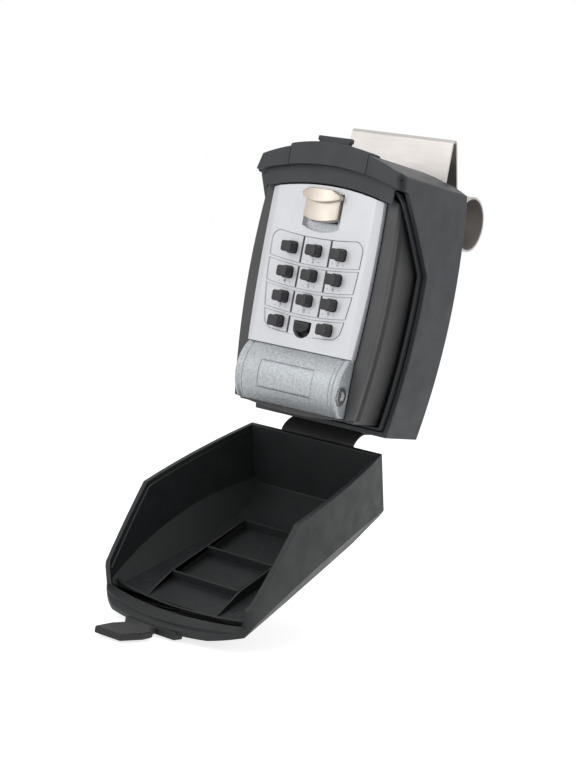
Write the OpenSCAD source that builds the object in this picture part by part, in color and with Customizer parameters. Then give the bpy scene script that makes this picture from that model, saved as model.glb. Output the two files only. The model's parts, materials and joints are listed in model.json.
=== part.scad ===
// Key safe that hangs on the top edge of a car window
//
// Working frame: x = 0 in the middle, y = 0 on the door's face, z = 0 at the first row
// of buttons. The front faces -Y. Every node is then moved so that the origin lies at the middle of
// the glass edge that the hook hangs on.

/* [Weather shell] */
// Width of the shell at its widest
shell_w = 82; // [80:0.5:88]
// Radius of the bowed sides
bow_r = 360; // [320:10:420]
// Height of the widest place
bow_z = -12; // [-16:1:-8]
// Radius of the domed roof
dome_r = 84; // [80:1:90]
// Height of the roof above the first row of buttons
dome_top = 46; // [45:0.5:50]
// Depth of the shell's bottom below the first row of buttons
shell_drop = 75; // [74.8:0.1:75.4]
// How far the visor stands in front of the door's face
visor_reach = 3.6; // [3.2:0.1:3.9]
// Depth from the door's face to the flat back
shell_back = 57; // [56.6:0.1:60]
// Wall of the shell
shell_wall = 2.4; // [2:0.1:2.6]
// Rim below the visor, distance behind the door's face
rim_top_y = 3.5; // [3:0.1:5]
// Rim below the visor, height
rim_top_z = 30.4; // [30:0.1:31]
// Knee of the rim, distance behind the door's face
knee_y = 28.6; // [26:0.2:30]
// Knee of the rim, height
knee_z = -2.6; // [-6:0.2:2]
// Lower end of the rim, distance behind the door's face
rim_low_y = 29.2; // [28.8:0.1:30]
// Height of the visor's lower edge in the middle
visor_edge = 36.9; // [36:0.1:38]
// Radius of the visor's lower edge
visor_arch_r = 114; // [108:1:120]
// Thickness of the sealing tongue
tongue_t = 1.2; // [1:0.1:1.3]
// How far the tongue stands out of the rim
tongue_out = 2.4; // [1.5:0.1:3]
// Width of the block that holds the lid's strap
catch_w = 17; // [14:0.5:20]
// Height of that block above the roof
catch_h = 3.7; // [3:0.1:5]

/* [Window hook] */
// Width of the sheet
hook_w = 54.2; // [46:0.2:58]
// Thickness of the sheet
sheet_t = 1; // [0.8:0.05:1.05]
// Height of the fold above the first row of buttons
hook_top = 61; // [59:0.5:66]
// Inner radius of the fold
fold_r = 1.2; // [1:0.05:1.6]
// Slope of the rear leg away from the front one
leg_lean = 22.8; // [20:0.1:25]
// Straight length of the rear leg
rear_leg = 41; // [36:0.5:46]
// Inner radius of the curled end
curl_r = 11.9; // [10:0.1:13]
// Opening left in the curl, as an angle
curl_gap = 26; // [20:1:40]
// Lower end of the leg inside the shell
leg_low = -22; // [-26:1:-20]
// Thickness of the window glass
glass_t = 4; // [3.5:0.1:5]

/* [Vault] */
// Gap between shell and vault, from outside to outside
vault_gap = 4.9; // [4.7:0.05:5.1]
// How far the vault's top lies below the roof
vault_lower = 11.5; // [10:0.1:12]
// Wall of the vault
vault_wall = 2.4; // [2:0.1:2.6]
// Thickness of the front frame
frame_t = 3.5; // [3.3:0.1:3.8]
// How far the frame lies behind the door's face
frame_y = 4.2; // [4:0.05:4.4]
// Gap round the door
door_gap = 0.6; // [0.5:0.05:0.8]
// Height of the shelf under the key room
shelf_z = -47.6; // [-48:0.1:-47]
// Thickness of that shelf
shelf_t = 2.4; // [2:0.1:2.6]

/* [Door] */
// Width of the door at its widest
door_w = 58; // [57:0.1:58.4]
// Radius of the door's bowed sides
door_bow_r = 600; // [500:10:900]
// Height of the door's arched top
door_top = 28.6; // [28.3:0.1:28.8]
// Radius of that arch
door_arch_r = 118; // [112:1:124]
// Distance of the face's rounded shoulders from the middle
shoulder_x = 24.5; // [24.2:0.1:25]
// Radius of those shoulders
shoulder_r = 20; // [19:0.5:24]
// Thickness of the face plate
plate_t = 2.6; // [2.4:0.1:2.8]
// Thickness of the casting behind it
cast_t = 2.4; // [2.2:0.1:2.6]
// Height of the crease above the barrel
crease_z = -43.4; // [-43.6:0.1:-43.2]
// Depth of the grooves
groove_d = 0.35; // [0.2:0.05:0.5]

/* [Barrel and pin] */
// Radius of the barrel
barrel_r = 16.5; // [16.2:0.1:16.6]
// Length of the barrel
barrel_w = 54; // [52:0.2:54.4]
// Height of the barrel's middle
barrel_z = -56.6; // [-57:0.1:-56.2]
// How far the barrel stands in front of the door's face
barrel_reach = 5.7; // [5.5:0.1:5.9]
// Lower edge of the barrel
barrel_low = -69; // [-69.2:0.1:-68]
// Wall of the barrel
barrel_wall = 1.6; // [1.4:0.1:1.7]
// Radius of the hinge pin
pin_r = 1.6; // [1.4:0.05:1.7]
// Distance of the pin in front of the door's face
pin_reach = 0.4; // [0.3:0.05:0.6]
// Height of the pin
pin_z = -59.3; // [-59.6:0.1:-59]
// Clearance round the pin
pin_fit = 0.05; // [0.03:0.01:0.1]

/* [Buttons] */
// Distance between columns
pitch_x = 12.7; // [12:0.1:13]
// Distance between rows
pitch_z = 10.96; // [10.6:0.02:11.2]
// Width of a cap
cap_w = 5.4; // [5:0.1:6.4]
// Height of a cap
cap_h = 4.8; // [4.6:0.1:5.6]
// How far a cap stands in front of the door's face
cap_reach = 4.9; // [4:0.1:5.2]
// Rounding of the cap's corners
cap_round = 1; // [0.6:0.1:1.4]
// Gap round a cap
cap_gap = 0.3; // [0.2:0.05:0.4]
// Travel of a button
button_travel = 2.5; // [2:0.1:2.8]
// Radius of a stem
stem_r = 1.6; // [1.4:0.05:1.7]
// Clearance round a stem
stem_fit = 0.05; // [0.03:0.01:0.1]

/* [Slides] */
// Width of the open slide
slide_w = 17.4; // [16:0.2:17.6]
// Width of its lip
lip_w = 19.6; // [18:0.2:20]
// Lower edge of the open slide in the middle
slide_low = 12.6; // [12.4:0.1:13.4]
// Height where its lip begins, in the middle
lip_low = 20.8; // [20:0.1:21.4]
// Top of the lip
lip_top = 26.8; // [26.6:0.1:27]
// Way down of the open slide
slide_travel = 4; // [3:0.1:4.2]
// Way up of the open slide, to lock the door
slide_lock = 2; // [1.6:0.1:2.2]
// Width of the shield window
shield_w = 9; // [8:0.1:9.4]
// Top of the shield window
shield_top = -31; // [-31.2:0.1:-30.6]
// Travel of the clear slide
clear_travel = 2.4; // [2:0.1:2.6]

/* [Weather lid] */
// How far the lid is open, measured from shut
lid_open = 113.7; // [90:0.1:150]
// Wall of the lid
lid_wall = 2.2; // [2:0.1:2.3]
// Gap between the rims of lid and shell
lid_gap = 0.4; // [0.3:0.05:0.6]
// Distance of the lid's crown from the door's face
lid_reach = 10.2; // [10:0.1:12]
// Radius of the lid's long curve
lid_bow_r = 1000; // [900:20:1200]
// Height of the crown of that curve
lid_crest = -25; // [-30:1:-20]
// Slope of the lid's flanks, seen from above
flank_turn = 55; // [54:0.5:56]
// Lean of those flanks along the lid
flank_tilt = 3; // [2.8:0.1:3.2]
// Slope of the lid's hinge end
heel_turn = 22.4; // [20:0.2:24]
// Height of the ribs inside
rib_top = 2.9; // [2.6:0.1:4]
// Thickness of the ribs
rib_t = 1.2; // [1:0.1:1.6]
// Half the distance between the long ribs
rib_x = 18; // [17.6:0.1:20]
// Height of the lid's hinge axis
hinge_z = -78.4; // [-78.8:0.1:-78.2]
// Distance of that axis behind the door's face
hinge_y = 30.65; // [30.4:0.05:31]
// Width of the soft hinge strip
strap_w = 39; // [30:0.5:46]
// Thickness of that strip
strap_t = 1.4; // [1:0.1:1.6]

/* [Latch strap] */
// Thickness of the strap
tab_t = 3; // [2.6:0.1:3.2]
// Length from the neck's root to the tip
tab_len = 25; // [20:0.5:28]
// Width of the neck
neck_w = 8; // [6:0.2:10]
// Width of the head
head_w = 17; // [14:0.2:18]
// Width of the tip
tip_w = 13.6; // [11:0.2:14]
// Lean of the strap towards the shell
tab_lean = 23.7; // [22:0.1:24]

/* [Hidden] */
$fn = 72;
// Facets of the large curves
large_fn = 720;

// Reach that is larger than the whole object, for cutting shapes
far = 200;
// Gap between flat faces that only lie near each other
near_gap = 0.3;
// Small step between faces that touch, and overlap of pieces of one body
touch = 0.1;
shell_half = shell_w / 2;
dome_c = dome_top - dome_r;
visor_y = -visor_reach;
// The lip band behind the visor
band_front = -0.4;
band_back = 1;
band_low = 29.2;
band_half = 33.5;
// Slanting ends of the visor, as points of its front
visor_end_low = [38, 26];
visor_end_high = [33, 44];
visor_end_back = 1;
back_wall = 2.3;
tongue_in = 2.9;
// The tongue ends this far below the rim's top, clear of the lid's rounded corners
tongue_less = 3.4;
tongue_root = 5;
groove_deep = 1.5;
pad_half = 20;
pad_high = 1;
pad_proud = 0.5;
pad_back = 6;
catch_front = -1.6;
catch_back = 1.4;
catch_under = 0.8;
catch_neck = 1.6;
catch_root = 3;

// The hook, in the plane seen from the side
leg_back = shell_back - back_wall - touch;
leg_front = leg_back - sheet_t;
leg_gap = 0.4;
fold_y = leg_back + fold_r;
fold_z = hook_top - sheet_t - fold_r;
lean_out = [cos(leg_lean), sin(leg_lean)];
fold_in = [fold_y, fold_z] + fold_r * lean_out;
edge_y = leg_back + glass_t / 2;
edge_z = fold_in[1] - (leg_back + glass_t - fold_in[0]) / tan(leg_lean);

// The vault
vault_back = leg_front - leg_gap;
room_back = vault_back - vault_wall;
// The body behind the frame is drawn in by this much
flange_out = 1.2;
room_inset = flange_out + vault_wall;
// Lower edge of the frame in the middle, and its radius
vault_low = -71.6;
belly_r = 185;
shelf_front = 6;
lug_in = 12;
lug_out = 18;
lug_r = 3;
lug_turn = 50;
lug_len = 13.5;
lug_bar = 4.4;
screw_r = 1.5;
screw_fit = 0.1;
screw_head_r = 2.8;
screw_head_t = 2;
screw_x = 16;
screw_rows = [8, -14];
screw_end = shell_back - 1;

// The door
cast_back = plate_t + cast_t;
door_half = door_w / 2;
barrel_y = barrel_r - barrel_reach;
barrel_half = barrel_w / 2;
barrel_back = cast_back;
bead_r = 1.5;
valley_in = 4.2;
valley_x = barrel_half - valley_in;
valley_d = 0.5;
crease_gap = 0.2;
crease_join = 3;
end_wall_in = barrel_half - 3.4;
end_wall_out = barrel_half - 1.4;
pin_y = -pin_reach;
// Slope of the shoulders where they leave the face
shoulder_turn = 16;
pin_head_r = 3.6;
pin_head_t = 1.1;
pin_hole_r = 2.2;
pin_hole_d = 0.8;
pin_pocket_r = 4.3;
plaque_half = 14;
plaque_low = -62.5;
plaque_high = -50.5;
plaque_t = 0.4;

// The lock, layer by layer behind the casting
flange_w = 8;
flange_h = 7.6;
flange_front = cast_back + near_gap;
flange_t = 1.2;
flange_back = flange_front + flange_t;
spring_room = 3;
chassis_front = flange_back + button_travel + spring_room;
chassis_t = 1.5;
chassis_back = chassis_front + chassis_t;
stem_out = 0.7;
stem_end = chassis_back + stem_out;
spigot_r = 1;
spigot_fit = 0.05;
wheel_t = 1.4;
wheel_r = 3.6;
wheel_slot = 0.8;
wheel_flat = 2.5;
cover_wall = 1.2;
wheel_room = 1.4;
cover_back = stem_end + wheel_t + button_travel + wheel_room + cover_wall;
chassis_half = 25;
chassis_low = -41;
chassis_high = 10;
post_r = 3;
post_x = 21;
post_rows = [6, -37];
cover_screw_r = 1.2;
cover_head_r = 2.2;
cover_head_t = 1.2;
screw_tip = 1.5;
spring_in = stem_r + near_gap;
spring_wire = 0.7;
spring_out = spring_in + spring_wire;
coil_r = 1.3;
coil_hole = 0.7;

// The slides
slide_front = -3.4;
lip_front = -5.9;
lip_back = -0.6;
lip_corner = 24.8;
lip_slant = 4.2;
slide_clear = 0.2;
slide_body_top = 23.4;
slide_round = 26;
smile_r = 22;
web_half = 6.5;
web_low = 17.3;
web_high = 21.8;
web_tall = web_high - web_low;
slot_low = slide_low - slide_travel - near_gap;
slot_gap = 0.8;
slot_half = slide_w / 2 + slot_gap;
slot_top = slide_body_top + slide_lock + near_gap;
bolt_front = cast_back + near_gap;
bolt_t = 2;
bolt_half = 8;
nose_half = 6;
bolt_low = 12.2;
nose_low = 22;
nose_top = 28.3;
rail_w = 1.4;
rail_back = bolt_front + bolt_t + near_gap;
guide_t = 1.2;
guide_low = 12.4;
guide_high = 20.4;
bolt_seat = 4.5;
seat_t = 1.1;
seat_half = 2.4;
seat_out = 3;
shield_tall = 7.4;
shield_low = shield_top - shield_tall;
clear_half = 6;
clear_high = -27.4;
clear_low = -39.4;
clear_t = 1.5;
thumb_half = 3.8;
thumb_high = -31.4;
thumb_mid = -31.9;
thumb_low = thumb_mid - thumb_half;
thumb_front = -0.9;
ridge_gap = 0.8;
ridge_d = 0.6;
clear_seat = -43.6;

// The grooves round the rows of buttons
row_top = 5.6;
row_low = -6.6;
row_pitch = 11;
row_gap = 1;
last_row_low = -37.5;
row_smile = 150;
row_half = 23.8;
row_bow = 180;
row_bow_z = 3;
divider_x = 7.2;
divider_w = 0.9;
divider_d = 0.6;
divider_less = 0.6;

// The lid
lid_front = -lid_reach;
plate_in = visor_y - pad_proud - lid_gap;
lid_top_cut = 35.5;
// Rounded front corners of the lid: middle and radius of the curve
corner_z = 3.5;
corner_r = 46;
// Step along the lid's front edge
step_w = 3.5;
step_d = 0.9;
flank_x = 41;
flank_y = 1.5;
heel_y = -3.1;
heel_z = -73.6;
cross_rows = [9.5, -15, -43];
rib_end = 30;
rib_start = -43;
rib_low = 3.4;
cross_dip = 0.4;
arc_rib = 32;
arc_rib_t = 1.4;
arc_rib_top = -4.4;
tab_y = plate_in - 1.4;
tab_root = dome_top + 3.4;
root_gap = 0.3;
base_half = 13;
base_deep = 4;
base_low = dome_top - base_deep;

// The hinge strip: its end on the shell, where it leaves the shell, its length on the lid
strap_end = 12.5;
strap_bend = 7;
strap_on_lid = 4.5;
strap_ease = 0.4;

// A point of the shut lid, as [y, z], turned open
function opened(p) = [
  hinge_y + (p[0] - hinge_y) * cos(lid_open) - (p[1] - hinge_z) * sin(lid_open),
  hinge_z + (p[0] - hinge_y) * sin(lid_open) + (p[1] - hinge_z) * cos(lid_open)];

// Moves a node from the working frame to the frame of the window edge
module placed() translate([0, -edge_y, -edge_z]) children();

// Flat shape seen from the front, from y0 back to y1
module along_y(y0, y1) translate([0, y1, 0]) rotate([90, 0, 0]) linear_extrude(y1 - y0) children();

// Flat shape seen from the right, drawn as (y, z), from x0 to x1
module along_x(x0, x1) translate([x0, 0, 0]) rotate([90, 0, 90]) linear_extrude(x1 - x0) children();

// Both mirror images of a piece
module both() {
  children();
  mirror([1, 0, 0]) children();
}

// Turns the shut lid into the pose in which it is drawn
module lid_pose() translate([0, hinge_y, hinge_z]) rotate([lid_open, 0, 0])
  translate([0, -hinge_y, -hinge_z]) children();

// Rectangle with round corners
module rounded(w, h, r) {
  square([w - 2 * r, h], center = true);
  square([w, h - 2 * r], center = true);
  for (i = [-1, 1], j = [-1, 1])
    translate([i * (w / 2 - r), j * (h / 2 - r)]) circle(r);
}

// Front view of the shell, drawn in by an inset from its sides and from a lower edge
module outline(inset, low = -shell_drop) intersection() {
  translate([bow_r - shell_half, bow_z]) circle(bow_r - inset, $fn = large_fn);
  translate([shell_half - bow_r, bow_z]) circle(bow_r - inset, $fn = large_fn);
  translate([0, dome_c]) circle(dome_r - inset, $fn = large_fn);
  translate([-far / 2, low + inset]) square([far, far]);
}

// Everything under an arch that peaks at z
module under_arch(z, r) translate([0, z - r]) circle(r, $fn = large_fn);

// Side view of all that lies behind the shell's rim, moved back by a shift
module behind_rim(shift) polygon([
  [visor_y + min(shift, 0), far], [visor_y + min(shift, 0), rim_top_z + 1],
  [rim_top_y + shift, rim_top_z], [knee_y + shift, knee_z], [rim_low_y + shift, -far],
  [far, -far], [far, far]]);

// Tongue and its root along the rim, between two insets and two shifts
module rim_strip(in0, in1, shift0, shift1) intersection() {
  along_y(visor_y, shell_back - back_wall - sheet_t) difference() {
    outline(in0);
    outline(in1);
    translate([-far / 2, rim_top_z - tongue_less]) square([far, far]);
  }
  along_x(-far / 2, far / 2) difference() {
    behind_rim(shift0);
    behind_rim(shift1);
  }
}

module weather_shell() placed() color("dimgray") difference() {
  union() {
    difference() {
      union() {
        intersection() {
          along_y(visor_y, shell_back) outline(0);
          along_x(-far / 2, far / 2) behind_rim(0);
        }
        along_y(visor_y - pad_proud, pad_back) intersection() {
          translate([0, dome_c]) circle(dome_r + pad_high, $fn = large_fn);
          translate([-pad_half, visor_edge - 4]) square([2 * pad_half, far]);
        }
        along_y(catch_front, catch_back) translate([-catch_w / 2, dome_top + catch_neck])
          square([catch_w, catch_h - catch_neck]);
        along_y(catch_front, catch_back) translate([catch_under - catch_w / 2, dome_top - catch_root])
          square([catch_w - 2 * catch_under, catch_neck + catch_root + touch]);
      }
      along_y(band_back, shell_back - back_wall) outline(shell_wall);
      along_y(visor_y - 2, band_front) under_arch(visor_edge, visor_arch_r);
      both() along_y(visor_y - 1, visor_end_back) polygon([visor_end_low, visor_end_high,
        [far, visor_end_high[1]], [far, visor_end_low[1]]]);
    }
    along_y(band_front, band_back) difference() {
      intersection() {
        outline(1);
        translate([-band_half, 0]) square([2 * band_half, far]);
      }
      under_arch(band_low, door_arch_r);
    }
    rim_strip(tongue_in, tongue_in + tongue_t, -tongue_out, groove_deep + touch);
    rim_strip(shell_wall - 0.2, tongue_in + tongue_t, groove_deep, tongue_root);
  }
  translate([-hook_w / 2 - near_gap, leg_front - touch, dome_c])
    cube([hook_w + 2 * near_gap, sheet_t + 2 * touch, far]);
  for (x = [-screw_x, screw_x], z = screw_rows)
    translate([x, 0, z]) along_y(leg_front, screw_end + touch) circle(screw_r + screw_fit);
}

// Section of the folded sheet, as a ring round its own middle
module sheet_ring(r) difference() {
  circle(r + sheet_t);
  circle(r);
}

module window_hook() placed() color("gainsboro") difference() {
  along_x(-hook_w / 2, hook_w / 2) {
    translate([leg_front, leg_low]) square([sheet_t, fold_z - leg_low]);
    translate([fold_y, fold_z]) intersection() {
      sheet_ring(fold_r);
      translate([-far, 0]) square([far, far]);
    }
    translate([fold_y, fold_z]) rotate(leg_lean) {
      intersection() {
        sheet_ring(fold_r);
        square([far, far]);
      }
      translate([fold_r, -rear_leg]) square([sheet_t, rear_leg]);
      translate([fold_r + sheet_t + curl_r, -rear_leg]) difference() {
        sheet_ring(curl_r);
        polygon([[0, 0], [-far, 0], [-far * cos(curl_gap), far * sin(curl_gap)]]);
      }
    }
  }
  for (x = [-screw_x, screw_x], z = screw_rows)
    translate([x, 0, z]) along_y(leg_front - 1, leg_back + 1) circle(screw_r + screw_fit);
}

// Front view of the vault
module vault_outline(inset) intersection() {
  outline(vault_gap + inset, vault_low - vault_gap);
  translate([0, dome_c]) circle(dome_r - vault_lower - inset, $fn = large_fn);
}

// Front view of the door above the barrel, grown by a margin
module door_outline(grow) intersection() {
  translate([door_bow_r - door_half, 0]) circle(door_bow_r + grow, $fn = large_fn);
  translate([door_half - door_bow_r, 0]) circle(door_bow_r + grow, $fn = large_fn);
  under_arch(door_top + grow, door_arch_r + grow);
  translate([-far / 2, crease_z]) square([far, far]);
}

// Lug of the vault that carries the pin
module lug() along_x(lug_in, lug_out) translate([pin_y, pin_z]) {
  circle(lug_r);
  rotate(lug_turn) translate([0, -lug_bar / 2]) square([lug_len, lug_bar]);
}

module vault_body() placed() color("slategray") difference() {
  union() {
    difference() {
      union() {
        along_y(frame_y, frame_y + frame_t) intersection() {
          vault_outline(0);
          translate([0, vault_low + belly_r]) circle(belly_r, $fn = large_fn);
        }
        along_y(frame_y + frame_t - touch, vault_back) vault_outline(flange_out);
      }
      along_y(frame_y + frame_t, room_back) vault_outline(room_inset);
      along_y(frame_y - 1, frame_y + frame_t + 1) {
        door_outline(door_gap);
        translate([-barrel_half - door_gap, barrel_low - near_gap])
          square([barrel_w + 2 * door_gap, crease_z + 1 - barrel_low + near_gap]);
      }
      along_y(bolt_front - near_gap, frame_y + frame_t + 1)
        translate([-nose_half - near_gap, nose_low])
          square([2 * (nose_half + near_gap), nose_top + slide_lock + near_gap - nose_low]);
    }
    along_y(shelf_front, room_back + 1) intersection() {
      vault_outline(flange_out + vault_wall / 2);
      translate([-far / 2, shelf_z - shelf_t]) square([far, shelf_t]);
    }
    both() lug();
  }
  along_x(-far, far) translate([pin_y, pin_z]) circle(pin_r + pin_fit);
  for (x = [-screw_x, screw_x], z = screw_rows)
    translate([x, 0, z]) along_y(room_back - 1, vault_back + 1) circle(screw_r + screw_fit);
}

module vault_screws() placed() color("silver")
  for (x = [-screw_x, screw_x], z = screw_rows) translate([x, 0, z]) difference() {
    union() {
      along_y(room_back - screw_head_t, room_back) circle(screw_head_r);
      along_y(room_back - 1, screw_end) circle(screw_r);
    }
    translate([-screw_head_r - 1, room_back - screw_head_t - 1, -wheel_slot / 2])
      cube([2 * screw_head_r + 2, 2, wheel_slot]);
  }

module hinge_pin() placed() color("lightgray") difference() {
  union() {
    both() along_x(-1, end_wall_out + pin_head_t / 2) translate([pin_y, pin_z]) circle(pin_r);
    both() along_x(end_wall_out + touch, end_wall_out + touch + pin_head_t)
      translate([pin_y, pin_z]) circle(pin_head_r);
  }
  both() along_x(end_wall_out + touch + pin_head_t - pin_hole_d, far)
    translate([pin_y, pin_z]) circle(pin_hole_r);
}

// Section of the soft hinge strip, from the shell's bottom to the lid's hinge wall
module strap_section() {
  under = -shell_drop - touch;
  out = [sin(lid_open), -cos(lid_open)];
  down = [-cos(lid_open), -sin(lid_open)];
  root = opened([rim_low_y - lid_gap, -shell_drop]) + touch * out;
  low_end = root + strap_on_lid * down;
  polygon([[hinge_y + strap_end, under], [hinge_y + strap_bend, under], root + strap_ease * out,
    root + 1.5 * strap_ease * down, low_end, low_end + strap_t * out,
    root + 3 * strap_ease * down + (strap_t + strap_ease) * out,
    [hinge_y + strap_bend + strap_ease, under - strap_t], [hinge_y + strap_end, under - strap_t]]);
}

module hinge_strap() placed() color("black") along_x(-strap_w / 2, strap_w / 2) strap_section();

// The mass of the shut lid, drawn in by an inset
module lid_mass(inset) intersection() {
  along_y(-far / 2, far / 2) intersection() {
    outline(inset);
    union() {
      translate([0, corner_z]) circle(corner_r - inset, $fn = large_fn);
      translate([-far / 2, corner_z - far]) square([far, far]);
    }
  }
  translate([0, lid_front + lid_bow_r, lid_crest]) rotate([0, 90, 0])
    cylinder(r = lid_bow_r - inset, h = far, center = true, $fn = large_fn);
  lid_flank(inset);
  mirror([1, 0, 0]) lid_flank(inset);
  translate([-far, heel_y, heel_z]) rotate([heel_turn, 0, 0]) translate([0, inset, -far])
    cube([2 * far, 2 * far, 2 * far]);
}

// All that lies inside the flank that joins the lid's front to its right wall
module lid_flank(inset) translate([flank_x, flank_y, 0]) rotate([0, flank_tilt, flank_turn - 90])
  translate([-inset - 2 * far, -far, -far]) cube(2 * far);

// Side view of the lid, in front of the shell's rim
module before_rim() polygon([[-far, far], [plate_in, far], [plate_in, rim_top_z + 1 - lid_gap],
  [rim_top_y - lid_gap, rim_top_z - lid_gap], [knee_y - lid_gap, knee_z],
  [rim_low_y - lid_gap, -far], [-far, -far]]);

// Ribs of the lid, before they are trimmed to its inside
module lid_ribs() {
  both() along_x(rib_x - rib_t / 2, rib_x + rib_t / 2) polygon([[-far / 4, rib_start],
    [-rib_top, rib_start], [-rib_top, cross_rows[0] + 1], [lid_front + rib_low, rib_end],
    [-far / 4, rib_end]]);
  for (z = cross_rows)
    translate([-rib_x, -far / 4, z - rib_t / 2])
      cube([2 * rib_x, far / 4 - rib_top - cross_dip, rib_t]);
  along_y(-far / 4, arc_rib_top) difference() {
    under_arch(arc_rib, visor_arch_r);
    under_arch(arc_rib - arc_rib_t, visor_arch_r);
    translate([-far, -far]) square([2 * far, far]);
  }
}

module weather_lid() placed() color("darkslategray") lid_pose() {
  difference() {
    intersection() {
      lid_mass(0);
      along_x(-far / 2, far / 2) before_rim();
    }
    intersection() {
      lid_mass(lid_wall);
      along_y(-far / 2, far / 2) under_arch(lid_top_cut, visor_arch_r);
    }
    intersection() {
      lid_mass(lid_wall);
      along_y(plate_in, far / 2) square([far, 2 * far], center = true);
    }
    along_y(plate_in - step_d, far / 2) difference() {
      translate([-far / 2, rim_top_z]) square([far, far]);
      translate([0, dome_c]) circle(dome_r - step_w, $fn = large_fn);
    }
  }
  intersection() {
    lid_mass(lid_wall / 2);
    lid_ribs();
  }
  translate([0, tab_y, tab_root]) rotate([-tab_lean, 0, 0])
    along_y(-tab_t / 2, tab_t / 2) translate([-base_half, base_low - tab_root])
      square([2 * base_half, tab_root - base_low - tab_t / 2 - root_gap]);
}

module latch_strap() placed() color("black") lid_pose()
  translate([0, tab_y, tab_root]) rotate([-tab_lean, 0, 0]) {
    along_x(-neck_w / 2, neck_w / 2) circle(tab_t / 2);
    along_y(-tab_t / 2, tab_t / 2) polygon([[-neck_w / 2, 0], [neck_w / 2, 0],
      [neck_w / 2, tab_len * 0.12], [head_w / 2 - 1, tab_len * 0.22],
      [head_w / 2, tab_len * 0.5], [tip_w / 2, tab_len], [-tip_w / 2, tab_len],
      [-head_w / 2, tab_len * 0.5], [1 - head_w / 2, tab_len * 0.22],
      [-neck_w / 2, tab_len * 0.12]]);
  }

// Place of button k, counted along the rows from the top left
function button_x(k) = (k % 3 - 1) * pitch_x;
function button_z(k) = -floor(k / 3) * pitch_z;
// The clear slide takes this place, the others hold buttons
clear_place = 10;
button_list = [for (k = [0:11]) if (k != clear_place) k];

// Front view of all the holes for the caps
module cap_holes() for (k = button_list) translate([button_x(k), button_z(k)])
  rounded(cap_w + 2 * cap_gap, cap_h + 2 * cap_gap, cap_round + cap_gap);

// Front view of the shield window, grown by a margin
module shield(grow) {
  straight = shield_low + shield_w / 2;
  translate([-shield_w / 2 - grow, straight])
    square([shield_w + 2 * grow, shield_top - straight + grow]);
  intersection() {
    translate([0, straight]) circle(shield_w / 2 + grow);
    translate([-far / 2, straight - far]) square(far);
  }
}

// Top and bottom of a row of buttons in the middle of its groove
function row_head(row) = row == 0 ? row_top : row_low - (row - 1) * row_pitch - row_gap;
function row_bottom(row) = row == 3 ? last_row_low : row_low - row * row_pitch;

// Front view of the pocket round a row of buttons
module row_pocket(row) {
  intersection() {
    translate([0, row_bottom(row) + row_smile]) circle(row_smile, $fn = large_fn);
    difference() {
      square([far, far], center = true);
      translate([0, row_head(row) + row_smile]) circle(row_smile, $fn = large_fn);
    }
    translate([row_half - row_bow, row_bow_z]) circle(row_bow, $fn = large_fn);
    translate([row_bow - row_half, row_bow_z]) circle(row_bow, $fn = large_fn);
  }
}

// Front view of the dark dividers in a row
module row_dividers(row) {
  sides = row == 3 ? [-1] : [-1, 1];
  low = row_bottom(row) + divider_less;
  for (i = sides) translate([i * divider_x - divider_w / 2, low])
    square([divider_w, row_head(row) - touch - low]);
}

// All that lies further than a depth behind the door's face
module below_face(depth) translate([-far / 2, depth, -far / 2]) cube(far);

// The face plate seen from above: flat between two rounded shoulders
module shouldered() {
  translate([-shoulder_x, -plate_t]) square([2 * shoulder_x, 3 * plate_t]);
  for (i = [-1, 1]) translate([i * (shoulder_x - shoulder_r * sin(shoulder_turn)),
    shoulder_r * cos(shoulder_turn)]) circle(shoulder_r);
}

// Front view of an upright strip with a flat top and a round lower end
module round_foot(low, top, half) intersection() {
  translate([-half, 0]) square([2 * half, top]);
  translate([0, low + smile_r]) circle(smile_r);
}

module face_plate() placed() color("lightgray") difference() {
  intersection() {
    along_y(0, plate_t) door_outline(0);
    translate([0, 0, -far / 2]) linear_extrude(far) shouldered();
  }
  along_y(-3, plate_t + 1) {
    cap_holes();
    shield(0);
    round_foot(slot_low, slot_top, slot_half);
  }
  difference() {
    along_y(-3, plate_t + 1) for (row = [0:3]) row_pocket(row);
    below_face(groove_d);
  }
  difference() {
    along_y(-3, plate_t + 1) for (row = [0:3]) row_dividers(row);
    below_face(divider_d + groove_d);
  }
}

// The round of the barrel with a bead near each end, on its own axis
module barrel_round() translate([0, barrel_y, barrel_z]) rotate([0, 90, 0]) rotate_extrude() {
  translate([0, -valley_x]) square([barrel_r, 2 * valley_x]);
  translate([0, bead_r - barrel_half]) square([barrel_r - valley_d, barrel_w - 2 * bead_r]);
  translate([0, -barrel_half]) square([barrel_r - bead_r, barrel_w]);
  for (i = [-1, 1])
    translate([barrel_r - bead_r, i * (barrel_half - bead_r)]) circle(bead_r);
}

// Hollow of the barrel between its end walls
module barrel_hollow() along_x(-end_wall_in, end_wall_in)
  translate([barrel_y, barrel_z]) circle(barrel_r - barrel_wall);

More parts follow.
